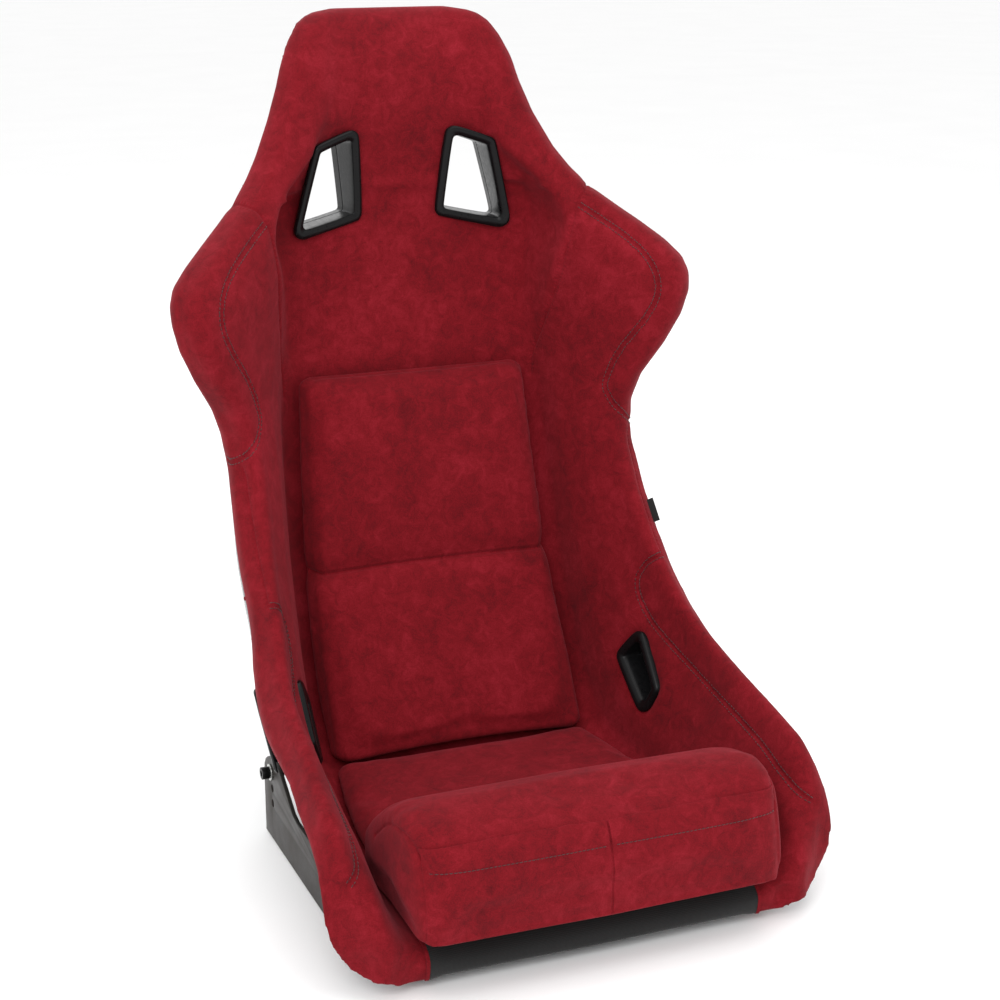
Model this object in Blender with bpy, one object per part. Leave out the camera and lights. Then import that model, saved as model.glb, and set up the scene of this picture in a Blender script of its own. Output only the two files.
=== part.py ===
"""Fixed-back racing seat: a moulded fibreglass bucket, its padded cover in panels, three loose cushions,
four harness slots with their bezels, and two steel side brackets with their bolts.

Metres, +Z up. The seat faces -Y, X is its width,
and its centre is at X = 0. The brackets' feet stand at Z = 0.
The whole bucket is one family of planar sections. Each section starts on the centre line of the padding
(the SPINE rail) and rises towards the CREST rail. Inside a section, x is the half-width and h the height
above the spine.
"""
import math

import bmesh
import bpy
import numpy as np
from mathutils import Vector
from mathutils.bvhtree import BVHTree

COLLECTION = "racing_seat"
CUTTERS = "cutters"

# Driving dimensions, in metres.
SHELL_WALL = 0.0045
GAP = 0.0006
FLAP = 0.006          # cover and thin foam wrapped round the outside of the rim
RIM_COVER = 0.013     # foam over the shell's rim
PLATE = 0.004         # bracket steel
PLATE_OUTER_X = 0.215
FOOT_WIDTH = 0.034
BOLT_D = 0.008
HEAD_D = 0.013
HEAD_L = 0.008
WASHER_D = 0.018
WASHER_T = 0.0016
HOLE_D = 0.0090
INSERT_LENGTH = 0.009
INSERT_FLANGE_R = 0.012

# Rails. Each knot starts with its section number; section 0 is the top of the head and 23 the front lip.
SPINE = [(0, .286, .840), (1, .275, .835), (2, .264, .821), (3, .253, .789), (4, .251, .745), (5, .259, .695),
         (6, .265, .655), (7, .267, .615), (8, .265, .58), (9, .262, .545), (10, .256, .50), (11, .247, .45),
         (12, .238, .40), (13, .223, .33), (14, .202, .25), (15, .160, .145), (16, .100, .067),
         (17, .020, .047),
         (18, -.080, .045), (19, -.165, .045), (20, -.218, .044), (21, -.247, .042), (22, -.265, .036),
         (23, -.275, .027)]
CREST = [(0, .285, .840), (1, .269, .835), (2, .254, .821), (3, .240, .789), (4, .229, .745), (5, .209, .692),
         (6, .181, .652), (7, .145, .615), (8, .120, .58), (9, .112, .545), (10, .119, .50), (11, .133, .45),
         (12, .130, .40), (13, .098, .335), (14, .048, .266), (15, -.006, .222), (16, -.054, .198),
         (17, -.096, .183), (18, -.136, .171), (19, -.190, .157), (20, -.224, .135), (21, -.249, .106),
         (22, -.266, .078), (23, -.2755, .048)]
# Where the centre panel is sewn to the side panels: half-width and share of the crest's height.
INNER_SEAM = [(0, .040, .3), (2, .068, .3), (4, .086, .5), (5, .110, .68), (6, .150, .80), (7, .163, .72),
              (8, .155, .54), (9, .151, .40), (10, .149, .28), (11, .149, .17), (13, .154, .12),
              (15, .160, .11),
              (16, .165, .11), (17, .175, .13), (18, .184, .15), (20, .190, .17), (22, .186, .25),
              (23, .180, .35)]
# Where the side panels are sewn to the rim bands.
OUTER_SEAM = [(0, .052, .8), (2, .092, .85), (4, .114, .9), (5, .138, .92), (6, .172, .93), (7, .205, .95),
              (8, .237, .98), (9, .240, .98), (10, .224, .96), (11, .198, .90), (12, .188, .86),
              (14, .199, .82),
              (16, .213, .80), (18, .226, .78), (20, .234, .76), (22, .232, .8), (23, .212, .85)]
CREST_X = [(0, .058), (1, .081), (2, .098), (3, .113), (4, .126), (5, .150), (6, .183), (7, .227), (8, .260),
           (9, .263), (10, .246), (11, .217), (12, .205), (14, .215), (16, .235), (18, .247), (20, .251),
           (22, .250), (23, .236)]
OUTER_X = [(0, .066), (1, .093), (2, .111), (3, .128), (4, .142), (5, .167), (6, .198), (7, .244), (8, .280),
           (9, .285), (10, .270), (11, .241), (12, .227), (13, .230), (14, .237), (16, .256), (18, .267),
           (20, .271), (22, .269), (23, .256)]
OUTER_DROP = [(0, .004), (1, .010), (2, .016), (3, .020), (4, .022), (6, .023), (9, .024), (20, .024),
              (22, .020),
              (23, .012)]
# The cover's outer edge: half-width, and distance down from the crest.
EDGE = [(0, .062, .008), (1, .087, .019), (2, .103, .033), (3, .118, .043), (4, .133, .047), (5, .157, .050),
        (6, .188, .054), (7, .236, .054), (8, .272, .056), (9, .275, .058), (10, .262, .056),
        (11, .236, .056),
        (12, .224, .058), (14, .231, .066), (16, .240, .062), (18, .240, .070), (20, .248, .062),
        (21, .253, .060),
        (22, .250, .055), (23, .240, .032)]
# The bare shell's outer side and its turn to the back: half-width and height above the spine.
SIDE = [(0, .058, -.008), (1, .080, -.018), (2, .095, -.030), (3, .106, -.039), (4, .118, -.036),
        (5, .140, -.016), (6, .166, .010), (7, .205, .032), (8, .236, .048), (9, .240, .046),
        (10, .228, .032),
        (11, .213, .016), (12, .209, .010), (14, .210, .018), (16, .2065, .040), (17, .2065, .040),
        (18, .2065, .022), (19, .2065, .018), (20, .224, .002), (21, .236, -.018), (22, .234, -.022),
        (23, .222, -.014)]
TURN = [(0, .040, -.008), (1, .055, -.022), (2, .064, -.035), (4, .080, -.046), (6, .110, -.032),
        (8, .150, -.018),
        (10, .158, -.020), (12, .165, -.026), (14, .172, -.027), (16, .172, -.026), (18, .180, -.024),
        (20, .190, -.026), (21, .200, -.030), (22, .196, -.026), (23, .190, -.016)]
BACK = [(0, .008), (1, .024), (2, .037), (3, .047), (4, .050), (6, .043), (8, .036), (12, .034), (14, .033),
        (16, .030), (18, .028), (20, .028), (21, .027), (22, .022), (23, .013)]
# How far the front sections are swept back at the bolsters.
SWEEP = [(0, 0), (18, 0), (19, .003), (20, .010), (21, .018), (22, .028), (23, .035)]
SWEEP_FROM = .19
SWEEP_OVER = .06

HEAD_END = 6.0        # the head panel ends here and the side panels begin
WAIST = 11.6          # the wing bands end here and the hip bands begin
BASE_START = 16.0     # the back liner ends here and the base liner begins
LIP_START = 20.6      # the base liner ends here and the lip strip begins
FRONT_END = 23.0
# Control points of one half section, in order from the centre to the back.
NAMES = ("centre", "flat", "inner_seam", "wall", "outer_seam", "crest", "outermost", "edge", "side",
         "turn", "back")
POSITION = {name: i for i, name in enumerate(NAMES)}


def rail(knots, t):
    """Value of a rail at section t: a cubic through its knots with finite-difference tangents."""
    ts = [k[0] for k in knots]
    values = np.array([k[1:] for k in knots], float)
    i = min(max(np.searchsorted(ts, t, side="right") - 1, 0), len(ts) - 2)
    span = ts[i + 1] - ts[i]
    s = (t - ts[i]) / span

    def slope(j):
        if j == 0:
            return (values[1] - values[0]) / (ts[1] - ts[0])
        if j == len(ts) - 1:
            return (values[-1] - values[-2]) / (ts[-1] - ts[-2])
        before = (values[j] - values[j - 1]) / (ts[j] - ts[j - 1])
        after = (values[j + 1] - values[j]) / (ts[j + 1] - ts[j])
        weight = (ts[j] - ts[j - 1]) / (ts[j + 1] - ts[j - 1])
        return before * (1 - weight) + after * weight

    m0, m1 = slope(i) * span, slope(i + 1) * span
    out = ((2 * s**3 - 3 * s**2 + 1) * values[i] + (s**3 - 2 * s**2 + s) * m0
           + (-2 * s**3 + 3 * s**2) * values[i + 1] + (s**3 - s**2) * m1)
    return out if len(out) > 1 else float(out[0])


def section(t):
    """The frame of section t (spine point, rising direction, height) and its control points (x, h)."""
    spine = rail(SPINE, t)
    rise = rail(CREST, t) - spine
    height = float(np.hypot(*rise))
    inner_x, inner_share = rail(INNER_SEAM, t)
    outer_x, outer_share = rail(OUTER_SEAM, t)
    inner = np.array([inner_x, inner_share * height])
    outer = np.array([outer_x, outer_share * height])
    flat = np.array([inner_x - .016, inner[1] * .22])
    along = outer - inner
    wall = (inner + outer) / 2 + np.array([-along[1], along[0]]) * .07
    edge_x, edge_drop = rail(EDGE, t)
    points = [(0, 0), flat, inner, wall, outer, (rail(CREST_X, t), height),
              (rail(OUTER_X, t), height - rail(OUTER_DROP, t)), (edge_x, height - edge_drop),
              rail(SIDE, t), rail(TURN, t), (0, -rail(BACK, t))]
    return spine, rise / height, height, np.array([np.asarray(p, float) for p in points])


def contour(points, u):
    """Point of the half contour at u, counted in control points, with its outward normal in (x, h)."""
    def at(v):
        # Mirrored ends keep the contour level at the centre line.
        def control(i):
            if i < 0:
                return points[-i] * (-1, 1)
            if i > len(points) - 1:
                return points[2 * (len(points) - 1) - i] * (-1, 1)
            return points[i]

        i = int(min(max(math.floor(v), 0), len(points) - 2))
        p = [control(i + j) for j in (-1, 0, 1, 2)]
        knots = [0.0]
        for a, b in zip(p, p[1:]):
            knots.append(knots[-1] + max(float(np.hypot(*(b - a))), 1e-6) ** .5)
        s = knots[1] + (v - i) * (knots[2] - knots[1])

        def mix(a, b, ka, kb):
            return (a * (kb - s) + b * (s - ka)) / (kb - ka)

        first = [mix(p[j], p[j + 1], knots[j], knots[j + 1]) for j in range(3)]
        second = [mix(first[j], first[j + 1], knots[j], knots[j + 2]) for j in range(2)]
        return mix(second[0], second[1], knots[1], knots[2])

    here = at(u)
    step = 0.02
    tangent = at(min(u + step, len(points) - 1)) - at(max(u - step, 0))
    tangent /= np.hypot(*tangent)
    return here, np.array([-tangent[1], tangent[0]])


def cover_inset(u):
    """Depth of the shell's outer face under the contour: foam at the rim, cover on the flap, bare below."""
    crest, outermost, edge = POSITION["crest"], POSITION["outermost"], POSITION["edge"]
    if u <= outermost:
        return RIM_COVER + (FLAP - RIM_COVER) * max(0.0, (u - crest) / (outermost - crest))
    if u <= edge:
        return FLAP
    return FLAP * max(0.0, 1 - (u - edge) / 0.12)


# Every solid takes its points from one grid, so that neighbours are faceted alike and keep their gap.
GRID_T = [0, .35, .75, 1.4, 2.2, 3, 3.8, 4.6, 5.3, 6, 6.5, 7, 7.5, 8, 8.5, 9, 9.6, 10.3, 11, 11.6, 12.3,
          13, 13.6,
          14.2, 14.8, 15.4, 16, 16.6, 17.3, 18.2, 19, 19.6, 20.2, 20.6, 21, 21.4, 21.8, 22.2, 22.58, 22.62,
          23]
GRID_U = [0, .6, 1, 1.5, 2, 2.7, 3.4, 4, 4.6, 5, 5.25, 5.4, 6, 6.5, 7, 7.15, 7.5, 8, 8.75, 9.4, 10]
GRID = {}


def to_world(t, spine, rise, point):
    share = min(max((abs(point[0]) - SWEEP_FROM) / SWEEP_OVER, 0), 1.1)
    swept = rail(SWEEP, t) * share**1.4
    return Vector((point[0], spine[0] + rise[0] * point[1] + swept, spine[1] + rise[1] * point[1]))


def grid_point(t, u, depth):
    """A point of the grid. depth None is the contour; a number is the depth under the shell's outer face."""
    if (t, u) not in GRID:
        spine, rise, _, points = section(t)
        here, normal = contour(points, u)
        out = Vector((normal[0], rise[0] * normal[1], rise[1] * normal[1]))
        GRID[t, u] = (to_world(t, spine, rise, here), out)
    here, normal = GRID[t, u]
    return here if depth is None else here - normal * (cover_inset(u) + depth)


def neighbours(grid, value):
    i = max(j for j, knot in enumerate(grid[:-1]) if knot <= value + 1e-9)
    return grid[i], grid[i + 1], (value - grid[i]) / (grid[i + 1] - grid[i])


def place(t, u, depth=None):
    """The point at section t and contour place u, straight between the grid's points."""
    t0, t1, a = neighbours(GRID_T, t)
    u0, u1, b = neighbours(GRID_U, u)
    near = grid_point(t0, u0, depth).lerp(grid_point(t0, u1, depth), b)
    if a < 1e-9:
        return near
    return near.lerp(grid_point(t1, u0, depth).lerp(grid_point(t1, u1, depth), b), a)


def knots_between(grid, start, end):
    """start, the grid's knots strictly between, and end; downwards when end is the smaller."""
    low, high = min(start, end), max(start, end)
    run = [low] + [k for k in grid if low + 1e-6 < k < high - 1e-6] + [high]
    return run if start < end else run[::-1]


def chain(t, start, end, depth=None):
    return [place(t, u, depth) for u in knots_between(GRID_U, start, end)]


# ---------------------------------------------------------------- building blocks

def collection(name, hidden=False):
    made = bpy.data.collections.new(name)
    bpy.context.scene.collection.children.link(made)
    made.hide_render = hidden
    return made


def material(name, colour, roughness, metallic=0.0):
    made = bpy.data.materials.get(name)
    if made:
        return made
    made = bpy.data.materials.new(name)
    made.use_nodes = True
    shader = made.node_tree.nodes["Principled BSDF"]
    shader.inputs["Base Color"].default_value = (*colour, 1)
    shader.inputs["Roughness"].default_value = roughness
    shader.inputs["Metallic"].default_value = metallic
    made.diffuse_color = (*colour, 1)
    return made


def finish(mesh_builder, name, look=None, cutter=False):
    """Turns a bmesh into a named object with outward normals."""
    bmesh.ops.recalc_face_normals(mesh_builder, faces=mesh_builder.faces)
    if mesh_builder.calc_volume(signed=True) < 0:
        bmesh.ops.reverse_faces(mesh_builder, faces=mesh_builder.faces)
    mesh = bpy.data.meshes.new(name)
    mesh_builder.to_mesh(mesh)
    mesh_builder.free()
    mesh.shade_smooth()
    mesh.set_sharp_from_angle(angle=math.radians(35))
    obj = bpy.data.objects.new(name, mesh)
    bpy.data.collections[CUTTERS if cutter else COLLECTION].objects.link(obj)
    if look:
        mesh.materials.append(look)
    if cutter:
        obj.hide_render = True
        obj.display_type = "WIRE"
    return obj


def loft(rings, closed=False, sheet=False):
    """A bmesh through equal rings. Open lofts get caps, laid in strips when the ring is a thin sheet's."""
    build = bmesh.new()
    rows = [[build.verts.new(p) for p in ring] for ring in rings]
    pairs = list(zip(rows, rows[1:])) + ([(rows[-1], rows[0])] if closed else [])
    for a, b in pairs:
        for i in range(len(a)):
            j = (i + 1) % len(a)
            # The shorter diagonal, so that two solids either side of a joint fold alike.
            if (a[i].co - b[j].co).length < (a[j].co - b[i].co).length:
                build.faces.new((a[i], a[j], b[j]))
                build.faces.new((a[i], b[j], b[i]))
            else:
                build.faces.new((a[i], a[j], b[i]))
                build.faces.new((a[j], b[j], b[i]))
    for row in () if closed else (rows[0], rows[-1]):
        if sheet:
            for i in range(len(row) // 2 - 1):
                build.faces.new((row[i], row[i + 1], row[-2 - i], row[-1 - i]))
        else:
            build.faces.new(row)
    return build


def spaced(start, end, count):
    return [start + (end - start) * i / (count - 1) for i in range(count)]


def mirror(point):
    return Vector((-point.x, point.y, point.z))


def mirrored(ring):
    return [mirror(p) for p in reversed(ring)]


def both_sides(name, rings, look):
    """The right-hand solid and its mirror image."""
    made = [finish(loft(rings), name + "_right", look)]
    made.append(finish(loft([mirrored(r) for r in rings]), name + "_left", look))
    return made


def cut(obj, cutter):
    bore = obj.modifiers.new("cut_" + cutter.name, "BOOLEAN")
    bore.operation = "DIFFERENCE"
    bore.solver = "EXACT"
    bore.object = cutter


def spread(a, b, towards, amount):
    """Moves both ends of a joint by amount, square to the joint, on towards' side."""
    along = (b - a).normalized()
    aside = towards - a
    aside = (aside - along * aside.dot(along)).normalized() * amount
    return a + aside, b + aside


# ---------------------------------------------------------------- bucket shell

RIM_U = 5.4           # the shell's free edge, under the crest
INSIDE_RIM_U = 5.25   # just inside that edge
SHELL_TOP = .75
SHELL_FRONT = 21.4
CLOSED_FROM = 22.6    # in front of here the panels close over the shell's front edge
SLIT = .0007


def shell_ring(t, grow=0.0):
    outer = chain(t, RIM_U, 10, -grow)
    inner = chain(t, RIM_U, 10, SHELL_WALL + grow)
    return outer + mirrored(outer[:-1]) + [mirror(p) for p in inner[:-1]] + inner[::-1]


def make_shell(look):
    rings = [shell_ring(t) for t in knots_between(GRID_T, SHELL_TOP, SHELL_FRONT)]
    return finish(loft(rings, sheet=True), "fibreglass_shell", look)


# ---------------------------------------------------------------- padded cover

SIDE_V = 7.5          # where the joint between rim band and side panel meets the shell
FLAT_V = 8.75         # where the joint between side panel and centre panel meets the shell


def under_depth(t):
    """Depth of a panel's underside: on the shell, or flush with the outside over the closed front edge."""
    return SHELL_WALL + GAP if t < CLOSED_FROM else 0.0


def pad_ring(t, u_start, u_end, v_start, v_end):
    """A closed ring: the contour from u_start to u_end, then the shell's front face back from v_end."""
    top = chain(t, u_start, u_end)
    low = chain(t, v_end, v_start, under_depth(t))
    top[0], low[-1] = spread(top[0], low[-1], top[1], GAP / 2)
    top[-1], low[0] = spread(top[-1], low[0], top[-2], GAP / 2)
    return top + low


def hook_ring(t, u_start, v_start):
    """The ring of a rim band: over the crest to the cover's edge, under the flap, round the shell's rim."""
    edge = POSITION["edge"]
    top = chain(t, u_start, edge)
    flap = chain(t, edge, RIM_U, -GAP)
    sheet = SHELL_WALL + 2 * GAP if t < CLOSED_FROM else SLIT
    past_rim = [place(t, INSIDE_RIM_U, sheet * share - GAP) for share in (.15, .85)]
    inside = chain(t, RIM_U, v_start, sheet - GAP)
    top[0], inside[-1] = spread(top[0], inside[-1], top[1], GAP / 2)
    return top + flap + past_rim + inside


def centre_ring(t):
    top = chain(t, 0, POSITION["inner_seam"])
    low = chain(t, FLAT_V, 10, under_depth(t))
    top[-1], low[0] = spread(top[-1], low[0], top[-2], GAP / 2)
    half = top[1:] + low[:-1]
    return [top[0]] + half + [low[-1]] + mirrored(half)


def make_centre(name, start, end, look):
    return finish(loft([centre_ring(t) for t in knots_between(GRID_T, start, end)]), name, look)


def make_head(look):
    """The head panel: the whole rounded head, hollowed by the shell's sheet."""
    rings = []
    back_flap_end = 3.0
    for t in (0, .35, .75, 1.2, 1.8, 2.4, 2.95, 3.1, 3.6, 4.3, 5.0, 5.5, HEAD_END - .012):
        spine, rise, _, points = section(t)
        behind = FLAP if t < back_flap_end else -SHELL_WALL / 2
        half = []
        for u in (0, .7, 1.4, 2, 3, 4, 4.5, 5, 5.4, 5.8, 6.2, 6.6, 7, 7.08, 7.4, 8, 8.7, 9.3, 10):
            here, normal = contour(points, u)
            half.append(to_world(t, spine, rise, here + normal * (behind if u > 7 else 0)))
        rings.append(half + mirrored(half[1:-1]))
    head = finish(loft(rings), "head_panel", look)
    sheet = [shell_ring(t, GAP) for t in knots_between(GRID_T, SHELL_TOP - .02, HEAD_END + .5)]
    cut(head, finish(loft(sheet), "shell_sheet_cutter", cutter=True))
    return head


def make_cover(look, strip_look):
    joint = .012
    inner, outer = POSITION["inner_seam"], POSITION["outer_seam"]
    made = [make_head(look), make_centre("back_liner", HEAD_END + joint, BASE_START - joint, look),
            make_centre("base_liner", BASE_START + joint, LIP_START - joint, look),
            make_centre("front_lip_strip", LIP_START + joint, FRONT_END, strip_look)]
    side = [pad_ring(t, inner, outer, FLAT_V, SIDE_V) for t in knots_between(GRID_T, HEAD_END + joint,
                                                                             FRONT_END)]
    made += both_sides("side_panel", side, look)
    wing = [hook_ring(t, outer, SIDE_V) for t in knots_between(GRID_T, HEAD_END + joint, WAIST - joint)]
    made += both_sides("wing_band", wing, look)
    hip = [hook_ring(t, outer, SIDE_V) for t in knots_between(GRID_T, WAIST + joint, FRONT_END)]
    made += both_sides("hip_band", hip, look)
    return made


# ---------------------------------------------------------------- cushions

# Side view of the back cushion, top to bottom: front (y, z), back (y, z), half-width.
BACK_CUSHION = [(.215, .460, .237, .460, .122), (.207, .453, .2395, .454, .131),
                (.199, .41, .2320, .41, .134),
                (.190, .36, .2225, .36, .137), (.180, .31, .2100, .31, .140), (.168, .258, .1975, .252, .143),
                (.140, .205, .1760, .193, .145), (.105, .148, .1420, .128, .147),
                (.072, .093, .107, .081, .145),
                (.069, .088, .099, .077, .135)]
# Side view of the base cushion, back to front: y, bottom, top, half-width.
BASE_CUSHION = [(.075, .063, .071, .138), (.068, .060, .075, .146), (.02, .0525, .0765, .156),
                (-.04, .0505, .077, .165),
                (-.095, .0495, .077, .170), (-.103, .053, .073, .162)]
# Side view of the thigh cushion: its closed outline (y, z), from the rear foot round over the crest.
THIGH_OUTLINE = [(-.115, .0505), (-.1125, .075), (-.117, .098), (-.140, .120), (-.170, .142), (-.205, .160),
                 (-.240, .168), (-.268, .163), (-.287, .150), (-.298, .128), (-.307, .100), (-.3121, .072),
                 (-.308, .056), (-.288, .052), (-.262, .0505), (-.200, .0505)]
THIGH_HALF = .182
POCKET_WALL = .0022
POCKET_TOP = 8        # the outline's points between which a pocket panel lies on the front face
POCKET_END = 12


def rounded_ring(half, low, high, corner, lower_corner):
    """A rounded rectangle ring in (x, depth): depth runs from low, behind, to high, in front."""
    pts = []
    for sx, depth, radius, start in ((1, high, corner, 0), (-1, high, corner, 1), (-1, low, lower_corner, 2),
                                     (1, low, lower_corner, 3)):
        inward = -1 if depth == high else 1
        for k in range(3):
            angle = math.radians(45 * k if start in (0, 2) else 90 - 45 * k)
            pts.append((sx * (half - radius + radius * math.cos(angle)),
                        depth + inward * (radius - radius * math.sin(angle))))
    return pts


def make_back_cushion(look):
    rings = []
    for fy, fz, by, bz, half in BACK_CUSHION:
        front, back = Vector((0, fy, fz)), Vector((0, by, bz))
        depth = (front - back).length
        ahead = (front - back) / depth
        corner = min(.013, depth * .42)
        lower = min(.010, depth * .42)
        ring = [back + ahead * d + Vector((x, 0, 0)) for x, d in rounded_ring(half, 0, depth, corner, lower)]
        rings.append(ring)
    return finish(loft(rings), "back_cushion", look)


def make_base_cushion(look):
    rings = []
    for y, bottom, top, half in BASE_CUSHION:
        corner = min(.009, (top - bottom) * .42)
        rings.append([Vector((x, y, z)) for x, z in rounded_ring(half, bottom, top, corner, corner * .8)])
    return finish(loft(rings), "base_cushion", look)


def shrunk(outline, amount):
    """The outline drawn in towards its middle, for a rounded end."""
    middle = np.mean(outline, axis=0)
    out = []
    for p in np.array(outline):
        to_middle = middle - p
        out.append(p + to_middle / np.hypot(*to_middle) * amount)
    return out


def make_thigh_cushion(look):
    rings = []
    body = [np.array(p) for p in THIGH_OUTLINE]
    for i in range(POCKET_TOP, POCKET_END + 1):
        body[i] = body[i] + np.array([POCKET_WALL + .0012, 0])
    for x, pull in ((-1, .017), (-.97, .007), (-.90, .0015), (0, 0), (.90, .0015), (.97, .007), (1, .017)):
        rings.append([Vector((x * THIGH_HALF, y, z)) for y, z in shrunk(body, pull)])
    return finish(loft(rings), "thigh_cushion", look)


def make_pocket_panels(look):
    made = []
    face = [Vector((0, y, z)) for y, z in THIGH_OUTLINE[POCKET_TOP + 1:POCKET_END]]
    for side, name in ((1, "right"), (-1, "left")):
        rings = []
        for x in (.0008, THIGH_HALF * .5, THIGH_HALF * .93):
            front = [p + Vector((side * x, 0, 0)) for p in face]
            rings.append(front + [p + Vector((0, POCKET_WALL, 0)) for p in reversed(front)])
        made.append(finish(loft(rings), "pocket_panel_" + name, look))
    return made


# ---------------------------------------------------------------- surfaces to fit to

def tree_of(objects):
    vertices, faces = [], []
    for obj in objects:
        start = len(vertices)
        vertices += [v.co.copy() for v in obj.data.vertices]
        faces += [[start + i for i in f.vertices] for f in obj.data.polygons]
    return BVHTree.FromPolygons(vertices, faces)


def hit(tree, origin, direction):
    found = tree.ray_cast(Vector(origin), Vector(direction))[0]
    if found is None:
        raise ValueError("the ray misses the seat")
    return found


def fitted_plane(points):
    """Middle and unit normal of the plane through points."""
    array = np.array([tuple(p) for p in points])
    middle = array.mean(axis=0)
    normal = np.linalg.svd(array - middle)[2][2]
    return Vector(middle), Vector(normal)


# ---------------------------------------------------------------- harness slots

FLANGE_WIDTH = .0095
FLANGE_PROUD = .0035
FLANGE_SUNK = .004
SLEEVE_WALL = .0022
REAR_SLEEVE = .009
SLOT_CORNER = .011
CORNER_STEPS = 4
# Outer corners of the front flanges on the right-hand side.
SHOULDER_SLOT = [(.049, .722), (.039, .619), (.128, .600), (.103, .703)]        # (x, z)
LAP_SLOT = [(.043, .198), (.070, .156), (.007, .100), (-.006, .140)]            # (y, z)


def rounded_quad(corners, inset):
    """2D ring: the quadrilateral drawn in by inset, with rounded corners; always the same count of points."""
    pts = [np.array(c, float) for c in corners]
    area = sum(a[0] * b[1] - a[1] * b[0] for a, b in zip(pts, pts[1:] + pts[:1]))
    if area < 0:
        pts = pts[::-1]
    lines = []
    for a, b in zip(pts, pts[1:] + pts[:1]):
        along = (b - a) / np.hypot(*(b - a))
        normal = np.array([-along[1], along[0]])
        lines.append((a + normal * inset, along))
    ring = []
    radius = max(SLOT_CORNER - inset * .6, .004)
    for (p, d), (q, e) in zip(lines, lines[1:] + lines[:1]):
        cross = d[0] * e[1] - d[1] * e[0]
        s = ((q - p)[0] * e[1] - (q - p)[1] * e[0]) / cross
        corner = p + d * s
        turn = math.acos(float(np.clip(d @ e, -1, 1)))
        reach = radius * math.tan(turn / 2)
        centre = corner - d * reach + np.array([-d[1], d[0]]) * radius
        start = math.atan2(-d[0], d[1])
        for k in range(CORNER_STEPS):
            angle = start + turn * k / (CORNER_STEPS - 1)
            ring.append(centre + radius * np.array([math.cos(angle), math.sin(angle)]))
    return ring


def slot_frame(front_hits, rear_hits, axis):
    """Front and rear planes of a slot; axis points out of the front."""
    planes = []
    for hits in (front_hits, rear_hits):
        middle, normal = fitted_plane(hits)
        planes.append((middle, normal if normal.dot(axis) > 0 else -normal))
    return planes


def slot_point(flat, plane, axis, lift, to_3d):
    """The 2D point carried along the axis onto the plane, then lifted along the axis."""
    middle, normal = plane
    base = to_3d(flat)
    along = (middle - base).dot(normal) / axis.dot(normal)
    return base + axis * (along + lift)


def make_slot(name, corners, to_3d, axis, front_hits, rear_hits, look, targets):
    """Front bezel with its sleeve, rear bezel, and the opening cut through the targets."""
    front, rear = slot_frame(front_hits, rear_hits, axis)

    def ring(inset, plane, lift):
        return [slot_point(p, plane, axis, lift, to_3d) for p in rounded_quad(corners, inset)]

    sleeve_in, sleeve_out = FLANGE_WIDTH + .001, FLANGE_WIDTH + .001 - SLEEVE_WALL
    rear_end = REAR_SLEEVE + .001
    profile = [(0, front, -FLANGE_SUNK), (0, front, .0012), (.0018, front, FLANGE_PROUD - .0004),
               (.0055, front, FLANGE_PROUD), (FLANGE_WIDTH, front, .001), (sleeve_in, front, -.004),
               (sleeve_in, rear, rear_end), (sleeve_out, rear, rear_end), (sleeve_out, front, -FLANGE_SUNK)]
    made = [finish(loft([ring(*row) for row in profile], closed=True), name + "_bezel", look)]
    profile = [(0, rear, .0015), (0, rear, -.0005), (.002, rear, -.0022), (.0060, rear, -.0022),
               (sleeve_in, rear, .001), (sleeve_in, rear, REAR_SLEEVE), (sleeve_out, rear, REAR_SLEEVE),
               (sleeve_out, rear, .0015)]
    rear_profile = [(inset, plane, lift - REAR_STAND) for inset, plane, lift in profile]
    rear_profile[5] = (sleeve_in, rear, REAR_SLEEVE)
    rear_profile[6] = (sleeve_out, rear, REAR_SLEEVE)
    made.append(finish(loft([ring(*row) for row in rear_profile], closed=True), name + "_rear_bezel", look))
    room = GAP
    rear_step = .0015 + room - REAR_STAND
    bore = [(-room, front, .10), (-room, front, -FLANGE_SUNK - room),
            (sleeve_out - room, front, -FLANGE_SUNK - room),
            (sleeve_out - room, rear, rear_step), (-room, rear, rear_step), (-room, rear, -.05)]
    cutter = finish(loft([ring(*row) for row in bore]), name + "_cutter", cutter=True)
    for target in targets:
        cut(target, cutter)
    return made


REAR_STAND = .0065    # the shell's back is rounded, so the rear bezel stands clear of its fitted plane


def make_slots(look, shell, cover):
    named = {obj.name: obj for obj in cover}
    front_tree = tree_of(cover)
    shell_tree = tree_of([shell])
    made = []
    for side, tag in ((1, "right"), (-1, "left")):
        axis = Vector((-.10 * side, -1, .03)).normalized()
        fronts = [hit(front_tree, (side * x, -.3, z), (0, 1, 0)) for x, z in SHOULDER_SLOT]
        rears = [hit(shell_tree, (side * x * 1.02, .6, z), (0, -1, 0)) for x, z in SHOULDER_SLOT]
        corners = [(side * x, z) for x, z in SHOULDER_SLOT]
        targets = [shell, named["head_panel"], named["back_liner"]]
        made += make_slot("shoulder_slot_" + tag, corners, lambda p: Vector((p[0], .25, p[1])), axis,
                          fronts, rears,
                          look, targets)
        axis = Vector((-side, 0, .06)).normalized()
        fronts = [hit(front_tree, (0, y, z), (side, 0, 0)) for y, z in LAP_SLOT]
        rears = [hit(shell_tree, (side * .5, y, z), (-side, 0, 0)) for y, z in LAP_SLOT]
        targets = [shell, named["side_panel_" + tag], named["hip_band_" + tag]]
        made += make_slot("lap_slot_" + tag, LAP_SLOT, lambda p: Vector((side * .2, p[0], p[1])), axis,
                          fronts, rears,
                          look, targets)
    return made


# ---------------------------------------------------------------- brackets and their fasteners

PLATE_INNER_X = PLATE_OUTER_X - PLATE
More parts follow.
